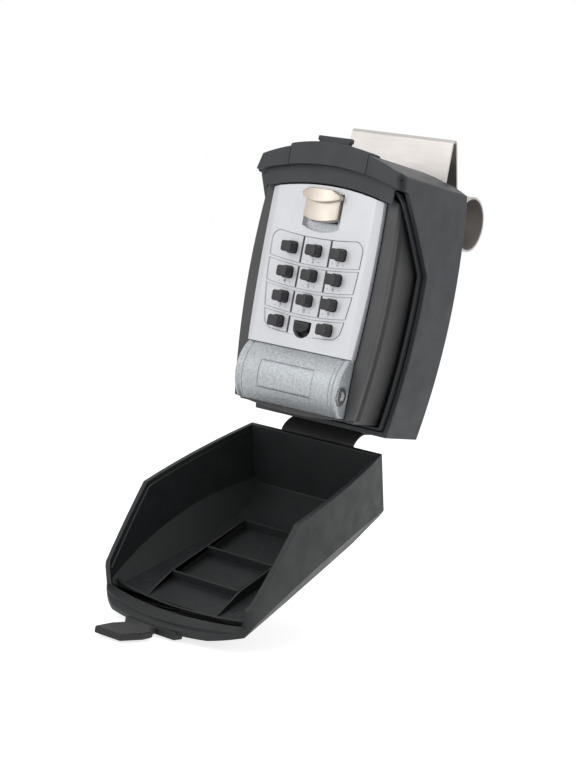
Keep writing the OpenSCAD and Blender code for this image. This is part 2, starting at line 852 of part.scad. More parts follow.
module door_casting() placed() color("silver") difference() {
  union() {
    difference() {
      along_y(plate_t, cast_back) {
        door_outline(0);
        translate([-barrel_half, crease_z - crease_join])
          square([barrel_w, crease_join + 1]);
      }
      along_y(plate_t - 1, cast_back + 1) {
        cap_holes();
        shield(near_gap);
        translate([-web_half - near_gap, web_low - slide_travel - near_gap])
          square([2 * (web_half + near_gap), web_tall + slide_travel + slide_lock + 2 * near_gap]);
      }
    }
    difference() {
      intersection() {
        union() {
          barrel_round();
          intersection() {
            along_x(-plaque_half, plaque_half)
              translate([barrel_y, barrel_z]) circle(barrel_r + plaque_t);
            translate([-far / 2, -far, plaque_low]) cube([far, far, plaque_high - plaque_low]);
          }
        }
        translate([-far / 2, barrel_back - far, barrel_low])
          cube([far, far, crease_z - crease_gap - barrel_low]);
      }
      barrel_hollow();
    }
    for (x = [-post_x, post_x], z = post_rows)
      translate([x, 0, z]) along_y(cast_back - 1, chassis_front) circle(post_r);
    both() translate([bolt_half + near_gap, cast_back - 1, guide_low])
      cube([rail_w, rail_back - cast_back + 1, guide_high - guide_low]);
    for (z = [bolt_seat, clear_seat - seat_t])
      translate([-seat_half, cast_back - 1, z]) cube([2 * seat_half, seat_out + 1, seat_t]);
  }
  along_x(-far, far) translate([pin_y, pin_z]) circle(pin_r + pin_fit);
  both() along_x(end_wall_out, far) translate([pin_y, pin_z]) circle(pin_pocket_r);
  for (x = [-post_x, post_x], z = post_rows)
    translate([x, 0, z]) along_y(cast_back + 1, far) circle(cover_screw_r + stem_fit);
}

// Front view of the chassis and the cover, drawn in by an inset
module chassis_outline(inset) translate([inset - chassis_half, chassis_low + inset])
  square([2 * (chassis_half - inset), chassis_high - chassis_low - 2 * inset]);

module lock_chassis() placed() color("darkgray") along_y(chassis_front, chassis_back) difference() {
  chassis_outline(0);
  for (k = button_list) translate([button_x(k), button_z(k)]) circle(stem_r + stem_fit);
  for (x = [-post_x, post_x], z = post_rows) translate([x, z]) circle(cover_screw_r + screw_fit);
}

module rear_cover() placed() color("gray") difference() {
  along_y(chassis_back, cover_back) chassis_outline(0);
  difference() {
    along_y(chassis_back - 1, cover_back - cover_wall) chassis_outline(cover_wall);
    for (x = [-post_x, post_x], z = post_rows)
      translate([x, 0, z]) along_y(chassis_back - 2, cover_back) circle(post_r);
  }
  for (x = [-post_x, post_x], z = post_rows)
    translate([x, 0, z]) along_y(chassis_back - 2, cover_back + 1) circle(cover_screw_r + screw_fit);
}

module cover_screws() placed() color("silver")
  for (x = [-post_x, post_x], z = post_rows) translate([x, 0, z]) difference() {
    union() {
      along_y(cover_back, cover_back + cover_head_t) circle(cover_head_r);
      along_y(cast_back + screw_tip, cover_back + cover_head_t / 2) circle(cover_screw_r);
    }
    translate([-cover_head_r - 1, cover_back + cover_head_t / 2, -wheel_slot / 2])
      cube([2 * cover_head_r + 2, 2, wheel_slot]);
  }

module bolt_guide() placed() color("darkgray")
  translate([-bolt_half - near_gap - rail_w, rail_back, guide_low])
    cube([2 * (bolt_half + near_gap + rail_w), guide_t, guide_high - guide_low]);

module button_springs() placed() color("gainsboro") for (k = button_list)
  translate([button_x(k), 0, button_z(k)])
    along_y(flange_back + touch, chassis_front - touch) difference() {
      circle(spring_out);
      circle(spring_in);
    }

// Plain spring that stands upright between two heights
module upright_spring(z0, z1, y) translate([0, y, z0]) linear_extrude(z1 - z0) difference() {
  circle(coil_r);
  circle(coil_hole);
}

module bolt_spring() placed() color("gainsboro")
  upright_spring(bolt_seat + seat_t + touch, bolt_low - touch, bolt_front + coil_r);

module clear_spring() placed() color("gainsboro")
  upright_spring(clear_seat + touch, clear_low - touch, bolt_front + coil_r);

// Front view of the slide's lip, with slanting upper corners
module lip() intersection() {
  translate([0, lip_low + smile_r]) circle(smile_r);
  polygon([[-lip_w / 2, 0], [lip_w / 2, 0], [lip_w / 2, lip_corner], [lip_w / 2 - lip_slant, lip_top],
    [lip_slant - lip_w / 2, lip_top], [-lip_w / 2, lip_corner]]);
}

module open_slide() placed() color("linen") {
  intersection() {
    along_y(slide_front - 1, plate_t - slide_clear) round_foot(slide_low, slide_body_top, slide_w / 2);
    translate([0, slide_front + slide_round, 0]) cylinder(r = slide_round, h = far);
  }
  intersection() {
    along_y(lip_front - 1, lip_back) lip();
    translate([0, lip_front + slide_round, 0]) cylinder(r = slide_round, h = far);
  }
  translate([-web_half, 0, web_low]) cube([2 * web_half, bolt_front, web_tall]);
}

module latch_bolt() placed() color("dimgray") along_y(bolt_front, bolt_front + bolt_t) {
  translate([-bolt_half, bolt_low]) square([2 * bolt_half, nose_low - bolt_low]);
  translate([-nose_half, bolt_low]) square([2 * nose_half, nose_top - bolt_low]);
}

module clear_slide() placed() color("black") difference() {
  union() {
    along_y(bolt_front, bolt_front + clear_t) translate([-clear_half, clear_low])
      square([2 * clear_half, clear_high - clear_low]);
    along_y(thumb_front, bolt_front + clear_t / 2) intersection() {
      translate([0, thumb_mid]) circle(thumb_half);
      translate([-thumb_half, thumb_high - 2 * thumb_half]) square(2 * thumb_half);
    }
  }
  for (i = [1, 2])
    translate([-clear_half, thumb_front - 1, thumb_low + i * (thumb_high - thumb_low) / 3 - ridge_gap / 2])
      cube([2 * clear_half, 1 + ridge_d, ridge_gap]);
}

module push_button(k) placed() color("black") translate([button_x(k), 0, button_z(k)]) {
  along_y(-cap_reach, flange_front + flange_t / 2) rounded(cap_w, cap_h, cap_round);
  along_y(flange_front, flange_back) rounded(flange_w, flange_h, cap_round);
  along_y(flange_front, stem_end) circle(stem_r);
  along_y(flange_front, stem_end + wheel_t) circle(spigot_r);
}

module code_wheel(k) placed() color("goldenrod") translate([button_x(k), 0, button_z(k)])
  difference() {
    along_y(stem_end, stem_end + wheel_t) difference() {
      circle(wheel_r);
      circle(spigot_r + spigot_fit);
      translate([wheel_flat, -wheel_r]) square([wheel_r, 2 * wheel_r]);
    }
    translate([-wheel_r, stem_end + wheel_t / 2, -wheel_slot / 2])
      cube([wheel_r * 2, wheel_t, wheel_slot]);
  }

weather_shell();
window_hook();
vault_body();
vault_screws();
hinge_pin();
hinge_strap();
weather_lid();
latch_strap();
door_casting();
face_plate();
lock_chassis();
rear_cover();
cover_screws();
bolt_guide();
button_springs();
bolt_spring();
clear_spring();
open_slide();
latch_bolt();
clear_slide();
push_button(0);  // button_1
push_button(1);  // button_2
push_button(2);  // button_3
push_button(3);  // button_4
push_button(4);  // button_5
push_button(5);  // button_6
push_button(6);  // button_7
push_button(7);  // button_8
push_button(8);  // button_9
push_button(9);  // button_0
push_button(11);  // button_blank
code_wheel(0);  // code_wheel_1
code_wheel(1);  // code_wheel_2
code_wheel(2);  // code_wheel_3
code_wheel(3);  // code_wheel_4
code_wheel(4);  // code_wheel_5
code_wheel(5);  // code_wheel_6
code_wheel(6);  // code_wheel_7
code_wheel(7);  // code_wheel_8
code_wheel(8);  // code_wheel_9
code_wheel(9);  // code_wheel_0
code_wheel(11);  // code_wheel_blank
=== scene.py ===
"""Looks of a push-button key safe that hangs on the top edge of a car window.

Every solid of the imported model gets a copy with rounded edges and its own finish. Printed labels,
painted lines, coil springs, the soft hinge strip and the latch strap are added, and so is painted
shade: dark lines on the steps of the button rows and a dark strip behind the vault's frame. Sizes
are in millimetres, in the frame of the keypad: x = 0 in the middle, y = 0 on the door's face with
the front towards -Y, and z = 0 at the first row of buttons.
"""
import json
import logging
import math
from dataclasses import dataclass, field
from enum import Enum
from typing import Callable, Sequence

import bmesh
import bpy
from mathutils import Matrix, Vector


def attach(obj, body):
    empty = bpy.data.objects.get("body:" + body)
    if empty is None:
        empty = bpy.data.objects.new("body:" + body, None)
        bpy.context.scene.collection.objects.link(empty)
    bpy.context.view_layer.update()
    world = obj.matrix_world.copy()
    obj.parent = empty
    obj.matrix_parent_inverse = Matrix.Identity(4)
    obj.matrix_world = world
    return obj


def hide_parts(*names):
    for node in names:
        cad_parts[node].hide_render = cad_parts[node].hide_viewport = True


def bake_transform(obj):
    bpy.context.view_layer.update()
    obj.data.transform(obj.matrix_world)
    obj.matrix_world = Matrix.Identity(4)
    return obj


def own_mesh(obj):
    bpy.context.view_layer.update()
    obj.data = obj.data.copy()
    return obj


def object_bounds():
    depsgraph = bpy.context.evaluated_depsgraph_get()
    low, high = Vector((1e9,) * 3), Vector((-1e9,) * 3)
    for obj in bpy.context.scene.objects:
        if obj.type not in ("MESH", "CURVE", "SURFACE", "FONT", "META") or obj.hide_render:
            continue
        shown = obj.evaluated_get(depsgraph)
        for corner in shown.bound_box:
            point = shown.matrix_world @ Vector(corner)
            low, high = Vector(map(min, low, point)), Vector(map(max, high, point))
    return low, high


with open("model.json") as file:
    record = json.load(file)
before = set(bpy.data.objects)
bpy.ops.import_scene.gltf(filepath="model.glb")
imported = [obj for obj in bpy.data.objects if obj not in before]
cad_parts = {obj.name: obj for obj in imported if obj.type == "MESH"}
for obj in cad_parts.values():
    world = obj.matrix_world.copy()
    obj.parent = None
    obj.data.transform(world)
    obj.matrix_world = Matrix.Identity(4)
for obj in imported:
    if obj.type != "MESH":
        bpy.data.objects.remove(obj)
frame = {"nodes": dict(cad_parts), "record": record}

LOG = logging.getLogger("key_safe")
CAD_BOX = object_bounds()
MM = 0.001
RING_WELD_MM = 0.01
# The middle of the glass edge, which is the frame's origin, in the frame of the keypad
GLASS_EDGE = Vector((0.0, 56.6, 55.2357))
Colour = tuple[float, float, float, float]
Point2 = tuple[float, float]
# Half width, radius and middle height of the bowed sides that shell and lid share
SHELL_BOW = (41.0, 360.0, -12.0)
# Distance between the buttons across and down the face, and each button's place in their grid
COLUMN, ROW = 12.7, 10.96
BUTTONS = {"1": 0, "2": 1, "3": 2, "4": 3, "5": 4, "6": 5, "7": 6, "8": 7, "9": 8, "0": 9, "blank": 11}


class Side(Enum):
    """The two sides of the safe, with the sign of x there."""

    LEFT = -1
    RIGHT = 1

    def named(self, pattern: str) -> str:
        """A piece's name with the side's own name in it."""
        return pattern.format(self.name.lower())


class Level(Enum):
    """The two ends of a row of buttons."""

    TOP = "top"
    LOW = "low"


def shade(red: int, green: int, blue: int) -> Colour:
    """Turns display colour values from 0 to 255 into a linear colour."""
    def linear(value: int) -> float:
        """One channel of the colour."""
        share = value / 255
        return share / 12.92 if share <= 0.04045 else ((share + 0.055) / 1.055) ** 2.4
    return (linear(red), linear(green), linear(blue), 1.0)


def dimmed(colour: Colour, share: float) -> Colour:
    """The colour, lighter or darker by a share."""
    return (colour[0] * share, colour[1] * share, colour[2] * share, 1.0)


def bowed(half: float, radius: float, middle: float, z: float) -> float:
    """Half the width, at a height, of a form with bowed sides that is widest in its middle."""
    return half - radius + math.sqrt(radius ** 2 - (z - middle) ** 2)


def keypad_point(x: float, y: float, z: float) -> Vector:
    """A point of the keypad's frame, in millimetres, as a point of the scene."""
    return (Vector((x, y, z)) - GLASS_EDGE) * MM


class Graph:
    """Node tree of one material, with short calls for the nodes that the finishes share."""

    # Nearly all of a cloudy pattern lies between these values
    PATTERN_LOW = 0.3
    PATTERN_HIGH = 0.7
    CELL_SMOOTHNESS = 0.6

    def __init__(self, name: str) -> None:
        """Makes an empty material with a shader on its output."""
        self.material = bpy.data.materials.new(name)
        self.material.use_nodes = True
        self.tree = self.material.node_tree
        self.tree.nodes.clear()
        self.shader = self.tree.nodes.new("ShaderNodeBsdfPrincipled")
        output = self.tree.nodes.new("ShaderNodeOutputMaterial")
        self.link(self.shader.outputs["BSDF"], output.inputs["Surface"])
        self.place = self.tree.nodes.new("ShaderNodeTexCoord").outputs["Object"]

    def link(self, source: bpy.types.NodeSocket, target: bpy.types.NodeSocket) -> None:
        """Joins two sockets."""
        self.tree.links.new(source, target)

    def settle(self, **values: float | Colour) -> None:
        """Sets plain values on the shader's own sockets.

        Args:
            values: socket names in lower case with underscores, and their values.
        """
        for socket in self.shader.inputs:
            key = socket.name.lower().replace(" ", "_")
            if key in values:
                socket.default_value = values[key]

    def stretched(self, x: float, y: float, z: float) -> bpy.types.NodeSocket:
        """The surface's coordinates, stretched along the axes."""
        node = self.tree.nodes.new("ShaderNodeMapping")
        node.inputs["Scale"].default_value = (x, y, z)
        self.link(self.place, node.inputs["Vector"])
        return node.outputs["Vector"]

    def noise(self, size_mm: float, detail: float = 2.0, rough: float = 0.5,
              place: bpy.types.NodeSocket | None = None) -> bpy.types.NodeSocket:
        """A cloudy pattern.

        Args:
            size_mm: size of its features.
            detail: how many finer layers it has.
            rough: strength of the finer layers.
            place: coordinates to use in place of the surface's own.

        Returns:
            The socket with the pattern's value.
        """
        node = self.tree.nodes.new("ShaderNodeTexNoise")
        node.inputs["Scale"].default_value = 1 / (size_mm * MM)
        node.inputs["Detail"].default_value = detail
        node.inputs["Roughness"].default_value = rough
        self.link(place or self.place, node.inputs["Vector"])
        return node.outputs["Fac"]

    def cells(self, size_mm: float) -> bpy.types.NodeSocket:
        """A pattern of round cells, as the distance from their middles."""
        node = self.tree.nodes.new("ShaderNodeTexVoronoi")
        node.feature = "SMOOTH_F1"
        node.inputs["Scale"].default_value = 1 / (size_mm * MM)
        node.inputs["Smoothness"].default_value = self.CELL_SMOOTHNESS
        self.link(self.place, node.inputs["Vector"])
        return node.outputs["Distance"]

    def spread(self, value: bpy.types.NodeSocket, low: float, high: float) -> bpy.types.NodeSocket:
        """Maps a pattern to values from low to high."""
        node = self.tree.nodes.new("ShaderNodeMapRange")
        for name, number in (("From Min", self.PATTERN_LOW), ("From Max", self.PATTERN_HIGH),
                             ("To Min", low), ("To Max", high)):
            node.inputs[name].default_value = number
        self.link(value, node.inputs["Value"])
        return node.outputs["Result"]

    def tones(self, value: bpy.types.NodeSocket, stops: Sequence[tuple[float, Colour]]) -> None:
        """Colours the surface by a pattern.

        Args:
            value: the pattern.
            stops: places along it and their colours.
        """
        node = self.tree.nodes.new("ShaderNodeValToRGB")
        ramp = node.color_ramp
        while len(ramp.elements) < len(stops):
            ramp.elements.new(1.0)
        for element, (where, colour) in zip(ramp.elements, stops):
            element.position = where
            element.color = colour
        self.link(value, node.inputs["Fac"])
        self.link(node.outputs["Color"], self.shader.inputs["Base Color"])

    def roughen(self, value: bpy.types.NodeSocket, low: float, high: float) -> None:
        """Lets the roughness wander between two values with a pattern."""
        self.link(self.spread(value, low, high), self.shader.inputs["Roughness"])

    def relief(self, height: bpy.types.NodeSocket, depth_mm: float, strength: float = 1.0,
               below: bpy.types.NodeSocket | None = None) -> bpy.types.NodeSocket:
        """Raises a pattern out of the surface.

        Args:
            height: the pattern.
            depth_mm: its height.
            strength: share of it that shows.
            below: relief that it lies on.

        Returns:
            The socket with the new normal, which is also joined to the shader.
        """
        node = self.tree.nodes.new("ShaderNodeBump")
        node.inputs["Strength"].default_value = strength
        node.inputs["Distance"].default_value = depth_mm * MM
        self.link(height, node.inputs["Height"])
        if below is not None:
            self.link(below, node.inputs["Normal"])
        self.link(node.outputs["Normal"], self.shader.inputs["Normal"])
        return node.outputs["Normal"]


@dataclass(frozen=True)
class Pattern:
    """A cloudy pattern: the size of its features, its finer layers and how it is stretched."""

    size_mm: float
    detail: float = 2.0
    rough: float = 0.5
    stretch: tuple[float, float, float] | None = None

    def on(self, graph: Graph) -> bpy.types.NodeSocket:
        """Draws the pattern in a material."""
        place = graph.stretched(*self.stretch) if self.stretch else None
        return graph.noise(self.size_mm, self.detail, self.rough, place)


@dataclass(frozen=True)
class Finish:
    """A surface in shades of one colour, with a wandering gloss and a fine relief."""

    name: str
    colour: Colour
    roughness: Point2
    cloud: Pattern
    # Places along the clouds, and the share of the colour there
    shades: Sequence[Point2]
    gloss: Pattern
    grain: Pattern
    grain_depth_mm: float
    grain_strength: float
    metallic: float = 0.0
    specular: float = 0.5
    sheen: float = 0.0
    anisotropic: float = 0.0

    def underlay(self, graph: Graph) -> bpy.types.NodeSocket | None:
        """The coarser relief below the grain, which most finishes lack."""
        return None

    def material(self) -> bpy.types.Material:
        """Builds the finish."""
        graph = Graph(self.name)
        graph.settle(metallic=self.metallic, specular_ior_level=self.specular,
                     sheen_weight=self.sheen, anisotropic=self.anisotropic)
        graph.tones(self.cloud.on(graph),
                    [(where, dimmed(self.colour, share)) for where, share in self.shades])
        graph.roughen(self.gloss.on(graph), *self.roughness)
        below = self.underlay(graph)
        graph.relief(self.grain.on(graph), self.grain_depth_mm, self.grain_strength, below)
        return graph.material


@dataclass(frozen=True)
class MouldedPlastic(Finish):
    """Moulded plastic with a fine grain, faint handling marks and slightly uneven faces."""

    roughness: Point2 = (0.44, 0.56)
    cloud: Pattern = Pattern(26.0, 3.0)
    shades: Sequence[Point2] = ((0.3, 0.95), (0.7, 1.05))
    gloss: Pattern = Pattern(9.0, 4.0)
    grain: Pattern = Pattern(0.6)
    grain_depth_mm: float = 0.02
    grain_strength: float = 0.6
    specular: float = 0.4
    wave: Pattern = Pattern(14.0, 1.0)
    wave_depth_mm: float = 0.12
    wave_strength: float = 0.25

    def underlay(self, graph: Graph) -> bpy.types.NodeSocket | None:
        """The long waves of the faces."""
        return graph.relief(self.wave.on(graph), self.wave_depth_mm, self.wave_strength)


@dataclass(frozen=True)
class BrushedSteel(Finish):
    """Stainless sheet, brushed along its width."""

    roughness: Point2 = (0.38, 0.5)
    cloud: Pattern = Pattern(18.0)
    shades: Sequence[Point2] = ((0.3, 0.93), (0.7, 1.04))
    gloss: Pattern = Pattern(0.5, 3.0, 0.6, (0.03, 1.0, 1.0))
    grain: Pattern = Pattern(0.5, 3.0, 0.6, (0.03, 1.0, 1.0))
    grain_depth_mm: float = 0.006
    grain_strength: float = 0.5
    metallic: float = 1.0
    anisotropic: float = 0.35


@dataclass(frozen=True)
class HammeredPaint(Finish):
    """Silver paint that dried into small dimples."""

    roughness: Point2 = (0.36, 0.5)
    cloud: Pattern = Pattern(0.9, 3.0, 0.65)
    shades: Sequence[Point2] = ((0.3, 0.74), (0.52, 1.0), (0.72, 1.22))
    gloss: Pattern = Pattern(0.9, 3.0, 0.65)
    grain: Pattern = Pattern(0.7)
    grain_depth_mm: float = 0.03
    grain_strength: float = 0.6
    metallic: float = 0.3
    dimple_mm: float = 1.1
    dimple_depth_mm: float = 0.06
    dimple_strength: float = 0.9

    def underlay(self, graph: Graph) -> bpy.types.NodeSocket | None:
        """The dimples."""
        return graph.relief(graph.cells(self.dimple_mm), self.dimple_depth_mm, self.dimple_strength)


@dataclass(frozen=True)
class MattSilver(Finish):
    """Fine silver paint on the face plate."""

    roughness: Point2 = (0.42, 0.52)
    cloud: Pattern = Pattern(0.35, 2.0, 0.6)
    shades: Sequence[Point2] = ((0.3, 0.96), (0.7, 1.04))
    gloss: Pattern = Pattern(6.0, 3.0)
    grain: Pattern = Pattern(0.5)
    grain_depth_mm: float = 0.008
    grain_strength: float = 0.5
    metallic: float = 0.25


@dataclass(frozen=True)
class PlatedMetal(Finish):
    """Smooth plated or bare metal with faint clouds and fine scratches."""

    roughness: Point2 = (0.2, 0.32)
    cloud: Pattern = Pattern(5.0, 3.0)
    shades: Sequence[Point2] = ((0.3, 0.92), (0.7, 1.05))
    gloss: Pattern = Pattern(2.5, 4.0)
    grain: Pattern = Pattern(0.4, 2.0, 0.5, (1.0, 0.1, 0.1))
    grain_depth_mm: float = 0.004
    grain_strength: float = 0.4
    metallic: float = 1.0


@dataclass(frozen=True)
class SatinPaint(Finish):
    """Satin paint with a faint orange peel."""

    roughness: Point2 = (0.4, 0.5)
    cloud: Pattern = Pattern(20.0, 3.0)
    shades: Sequence[Point2] = ((0.3, 0.92), (0.7, 1.08))
    gloss: Pattern = Pattern(7.0, 3.0)
    grain: Pattern = Pattern(1.2, 1.0)
    grain_depth_mm: float = 0.02
    grain_strength: float = 0.5


@dataclass(frozen=True)
class SoftRubber(Finish):
    """Soft black plastic that bends, with a dull skin."""

    roughness: Point2 = (0.58, 0.72)
    cloud: Pattern = Pattern(8.0, 4.0)
    shades: Sequence[Point2] = ((0.3, 0.85), (0.7, 1.2))
    gloss: Pattern = Pattern(4.0, 3.0)
    grain: Pattern = Pattern(0.9, 3.0)
    grain_depth_mm: float = 0.02
    grain_strength: float = 0.6
    specular: float = 0.35
    sheen: float = 0.08


PRINT_GRAIN = Pattern(0.5, 1.0)


class PrintAndShade(Enum):
    """Paints on the face plate. The labels and the dividers are print; the lines round the rows are
    partly a printed outline and partly painted shade of the pockets' steps, with the dark paint on the
    rows' right ends as painted shade and the faint paint on their left ends as the lit side of the
    steps.
    """

    LABEL = SatinPaint("label_paint", shade(140, 142, 146), (0.55, 0.65), grain=PRINT_GRAIN)
    LINE = SatinPaint("line_paint", shade(150, 152, 156), (0.5, 0.6), grain=PRINT_GRAIN)
    FAINT = SatinPaint("faint_paint", shade(200, 202, 206), (0.5, 0.6), grain=PRINT_GRAIN)
    EDGE = SatinPaint("edge_paint", shade(90, 92, 96), (0.5, 0.6), grain=PRINT_GRAIN)
    DIVIDER = SatinPaint("divider_paint", shade(52, 53, 57), (0.45, 0.55), grain=PRINT_GRAIN)


class Wardrobe:
    """Hands out one material for each finish, and knows the finish of each material slot."""

    FINISHES: dict[str, Finish] = {finish.name: finish for finish in (
        MouldedPlastic("case_plastic", shade(51, 54, 57)),
        MouldedPlastic("lid_plastic", shade(29, 31, 32), (0.46, 0.6)),
        SoftRubber("soft_black", shade(38, 38, 38)),
        BrushedSteel("stainless", shade(190, 186, 183)),
        SatinPaint("vault_paint", shade(66, 66, 67)),
        PlatedMetal("inner_steel", shade(190, 190, 192)),
        PlatedMetal("pin_steel", shade(186, 188, 190)),
        HammeredPaint("hammered_silver", shade(190, 194, 197)),
        MattSilver("matt_silver", shade(219, 220, 223)),
        SatinPaint("cover_paint", shade(120, 121, 124)),
        PlatedMetal("warm_nickel", shade(200, 191, 181), (0.42, 0.52)),
        MouldedPlastic("button_black", shade(47, 47, 49), (0.36, 0.46), grain=Pattern(0.4),
                       grain_depth_mm=0.01),
        PlatedMetal("wheel_brass", shade(206, 172, 96)),
    )}

    def __init__(self) -> None:
        """Starts with no material made."""
        self.made: dict[str, bpy.types.Material] = {}

    def material(self, finish: Finish) -> bpy.types.Material:
        """The material of a finish, made at its first use."""
        if finish.name not in self.made:
            self.made[finish.name] = finish.material()
        return self.made[finish.name]


@dataclass(frozen=True)
class EdgeRule:
    """Which edges of a solid are rounded, and how far."""

    width_mm: float
    segments: int = 2
    angle_deg: float = 30.0
    picks: Callable[[Vector, Vector], bool] = lambda start, end: True


class Workshop:
    """Makes pieces, gives them their material and sets them on their bodies."""

    WELD_MM = 0.004
    FLAT_DEG = 0.3
    SHARP_DEG = 36.0
    FLAT_WEIGHT = 90

    def __init__(self) -> None:
        """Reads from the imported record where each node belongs."""
        record = frame["record"]
        self.body_of = {n: b for b, nodes in record["behaviour"]["bodies"].items() for n in nodes}
        self.slot_of = {s["node"]: s["material_slot"] for s in record["subparts"]}
        self.wardrobe = Wardrobe()
        self.count = 0

    def piece(self, name: str, mesh: bpy.types.Mesh, body: str | None, look: Finish | str,
              stands_for: Sequence[str] = ()) -> bpy.types.Object:
        """Sets a mesh into the scene as a finished piece.

        Args:
            name: the piece's name.
            mesh: its mesh, in the scene's frame.
            body: the body that it rides on, or None where it lies between two and rides on neither.
            look: a material slot of the record, or a finish that has none.
            stands_for: nodes that it replaces.

        Returns:
            The new object.
        """
        finish = Wardrobe.FINISHES[look] if isinstance(look, str) else look
        mesh.materials.clear()
        mesh.materials.append(self.wardrobe.material(finish))
        made = bpy.data.objects.new(name, mesh)
        bpy.context.scene.collection.objects.link(made)
        if body is not None:
            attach(made, body)
        if stands_for:
            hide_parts(*stands_for)
        self.count += 1
        LOG.info("piece %s on %s", name, body or "two bodies")
        return made

    def smooth(self, made: bpy.types.Object) -> None:
        """Keeps large faces flat to the eye, with soft edges between them."""
        weighted = made.modifiers.new("even_normals", "WEIGHTED_NORMAL")
        weighted.keep_sharp = True
        weighted.weight = self.FLAT_WEIGHT

    def mark_sharp(self, bm: bmesh.types.BMesh) -> None:
        """Smooths all faces and keeps the edges that are still steep."""
        limit = math.radians(self.SHARP_DEG)
        for face in bm.faces:
            face.smooth = True
        for edge in bm.edges:
            edge.smooth = edge.calc_face_angle(0.0) < limit

    def rounded(self, node: str, rules: Sequence[EdgeRule]) -> bpy.types.Object:
        """Copies a solid, rounds its edges and dresses it in the finish of its slot.

        Args:
            node: the solid's node.
            rules: the edges to round, one rule after the other.

        Returns:
            The new piece, which stands for the node.
        """
        bm = bmesh.new()
        bm.from_mesh(frame["nodes"][node].data)
        bmesh.ops.remove_doubles(bm, verts=bm.verts, dist=self.WELD_MM * MM)
        bmesh.ops.dissolve_limit(bm, angle_limit=math.radians(self.FLAT_DEG), verts=bm.verts,
                                 edges=bm.edges)
        for rule in rules:
            limit = math.radians(rule.angle_deg)
            edges = [e for e in bm.edges if e.is_manifold and e.calc_face_angle(0.0) > limit
                     and rule.picks(*(v.co / MM + GLASS_EDGE for v in e.verts))]
            bmesh.ops.bevel(bm, geom=edges, offset=rule.width_mm * MM, offset_type="OFFSET",
                            segments=rule.segments, profile=0.5, affect="EDGES",
                            clamp_overlap=False, loop_slide=True)
        self.mark_sharp(bm)
        name = node + "_skin"
        made = self.piece(name, finished(bm, name), self.body_of[node], self.slot_of[node], [node])
        self.smooth(made)
        return made

    def skinned(self, name: str, sections: Sequence[Sequence[Vector]], body: str | None,
                look: Finish | str, stands_for: Sequence[str] = (), ring: bool = False,
                ) -> bpy.types.Object:
        """Makes a piece with soft faces from a row of sections.

        Args:
            name: the piece's name.
            sections: points of each section, in keypad millimetres.
            body: the body that it rides on, or None where it lies between two and rides on neither.
            look: a material slot of the record, or a finish that has none.
            stands_for: nodes that it replaces.
            ring: whether the last section lies on the first.

        Returns:
            The new piece.
        """
        bm = lofted(sections, ring)
        self.mark_sharp(bm)
        return self.piece(name, finished(bm, name), body, look, stands_for)


def lofted(sections: Sequence[Sequence[Vector]], ring: bool = False) -> bmesh.types.BMesh:
    """Skins a row of sections that have the same number of points.

    Args:
        sections: points of each section, in keypad millimetres.
        ring: whether the last section lies on the first; otherwise both ends are capped.

    Returns:
        The new mesh, still open for changes.
    """
    bm = bmesh.new()
    rings = [[bm.verts.new(keypad_point(*p)) for p in section] for section in sections]
    for a, b in zip(rings, rings[1:]):
        for i in range(len(a)):
            j = (i + 1) % len(a)
            bm.faces.new((a[i], a[j], b[j], b[i]))
    if not ring:
        bm.faces.new(rings[0][::-1])
        bm.faces.new(rings[-1])
    bmesh.ops.recalc_face_normals(bm, faces=bm.faces)
    if ring:
        bmesh.ops.remove_doubles(bm, verts=bm.verts, dist=RING_WELD_MM * MM)
    return bm


def finished(bm: bmesh.types.BMesh, name: str) -> bpy.types.Mesh:
    """Closes a mesh in the making."""
    mesh = bpy.data.meshes.new(name)
    bm.to_mesh(mesh)
    bm.free()
    return mesh


@dataclass
class WeatherCase:
    """The moulded shell with its visor, sealing rim and the block for the strap."""

    shop: Workshop
    edge_mm: float = 0.45
    rim_top: Point2 = (3.5, 30.4)
    rim_knee: Point2 = (28.6, -2.6)
    tongue_in: float = 2.9
    tongue_t: float = 1.2
    # The tongue's front and back, measured from the rim
    tongue_y: Point2 = (-2.4, 1.5)
    end_z: Point2 = (26.6, 30.2)
    end_draft: float = 1.4
    end_steps: int = 4

    def tongue_end(self, side: Side) -> None:
        """Runs the sealing tongue out under the visor, leaning inwards to clear the lid's corner."""
        slope = (self.rim_knee[0] - self.rim_top[0]) / (self.rim_top[1] - self.rim_knee[1])
        low, high = self.end_z
        sections = []
        for i in range(self.end_steps + 1):
            share = i / self.end_steps
            z = low + (high - low) * share
            out = bowed(*SHELL_BOW, z) - self.tongue_in - self.end_draft * share
            inner = out - self.tongue_t
            front, back = (self.rim_top[0] + (self.rim_top[1] - z) * slope + y for y in self.tongue_y)
            corners = ((out, front), (inner, front), (inner, back), (out, back))
            sections.append([Vector((side.value * x, y, z)) for x, y in corners])
        self.shop.skinned(side.named("tongue_{}_end"), sections, "housing", "case_plastic")

    def build(self) -> None:
        """Makes the shell and the ends of its tongue."""
        self.shop.rounded("weather_shell", [EdgeRule(self.edge_mm, 2)])
        for side in Side:
            self.tongue_end(side)


@dataclass
class WindowHook:
    """The bent sheet that goes over the window glass."""

    shop: Workshop
    edge_mm: float = 0.2

    def build(self) -> None:
        """Makes the sheet."""
        self.shop.rounded("window_hook", [EdgeRule(self.edge_mm, 2, 40.0)])


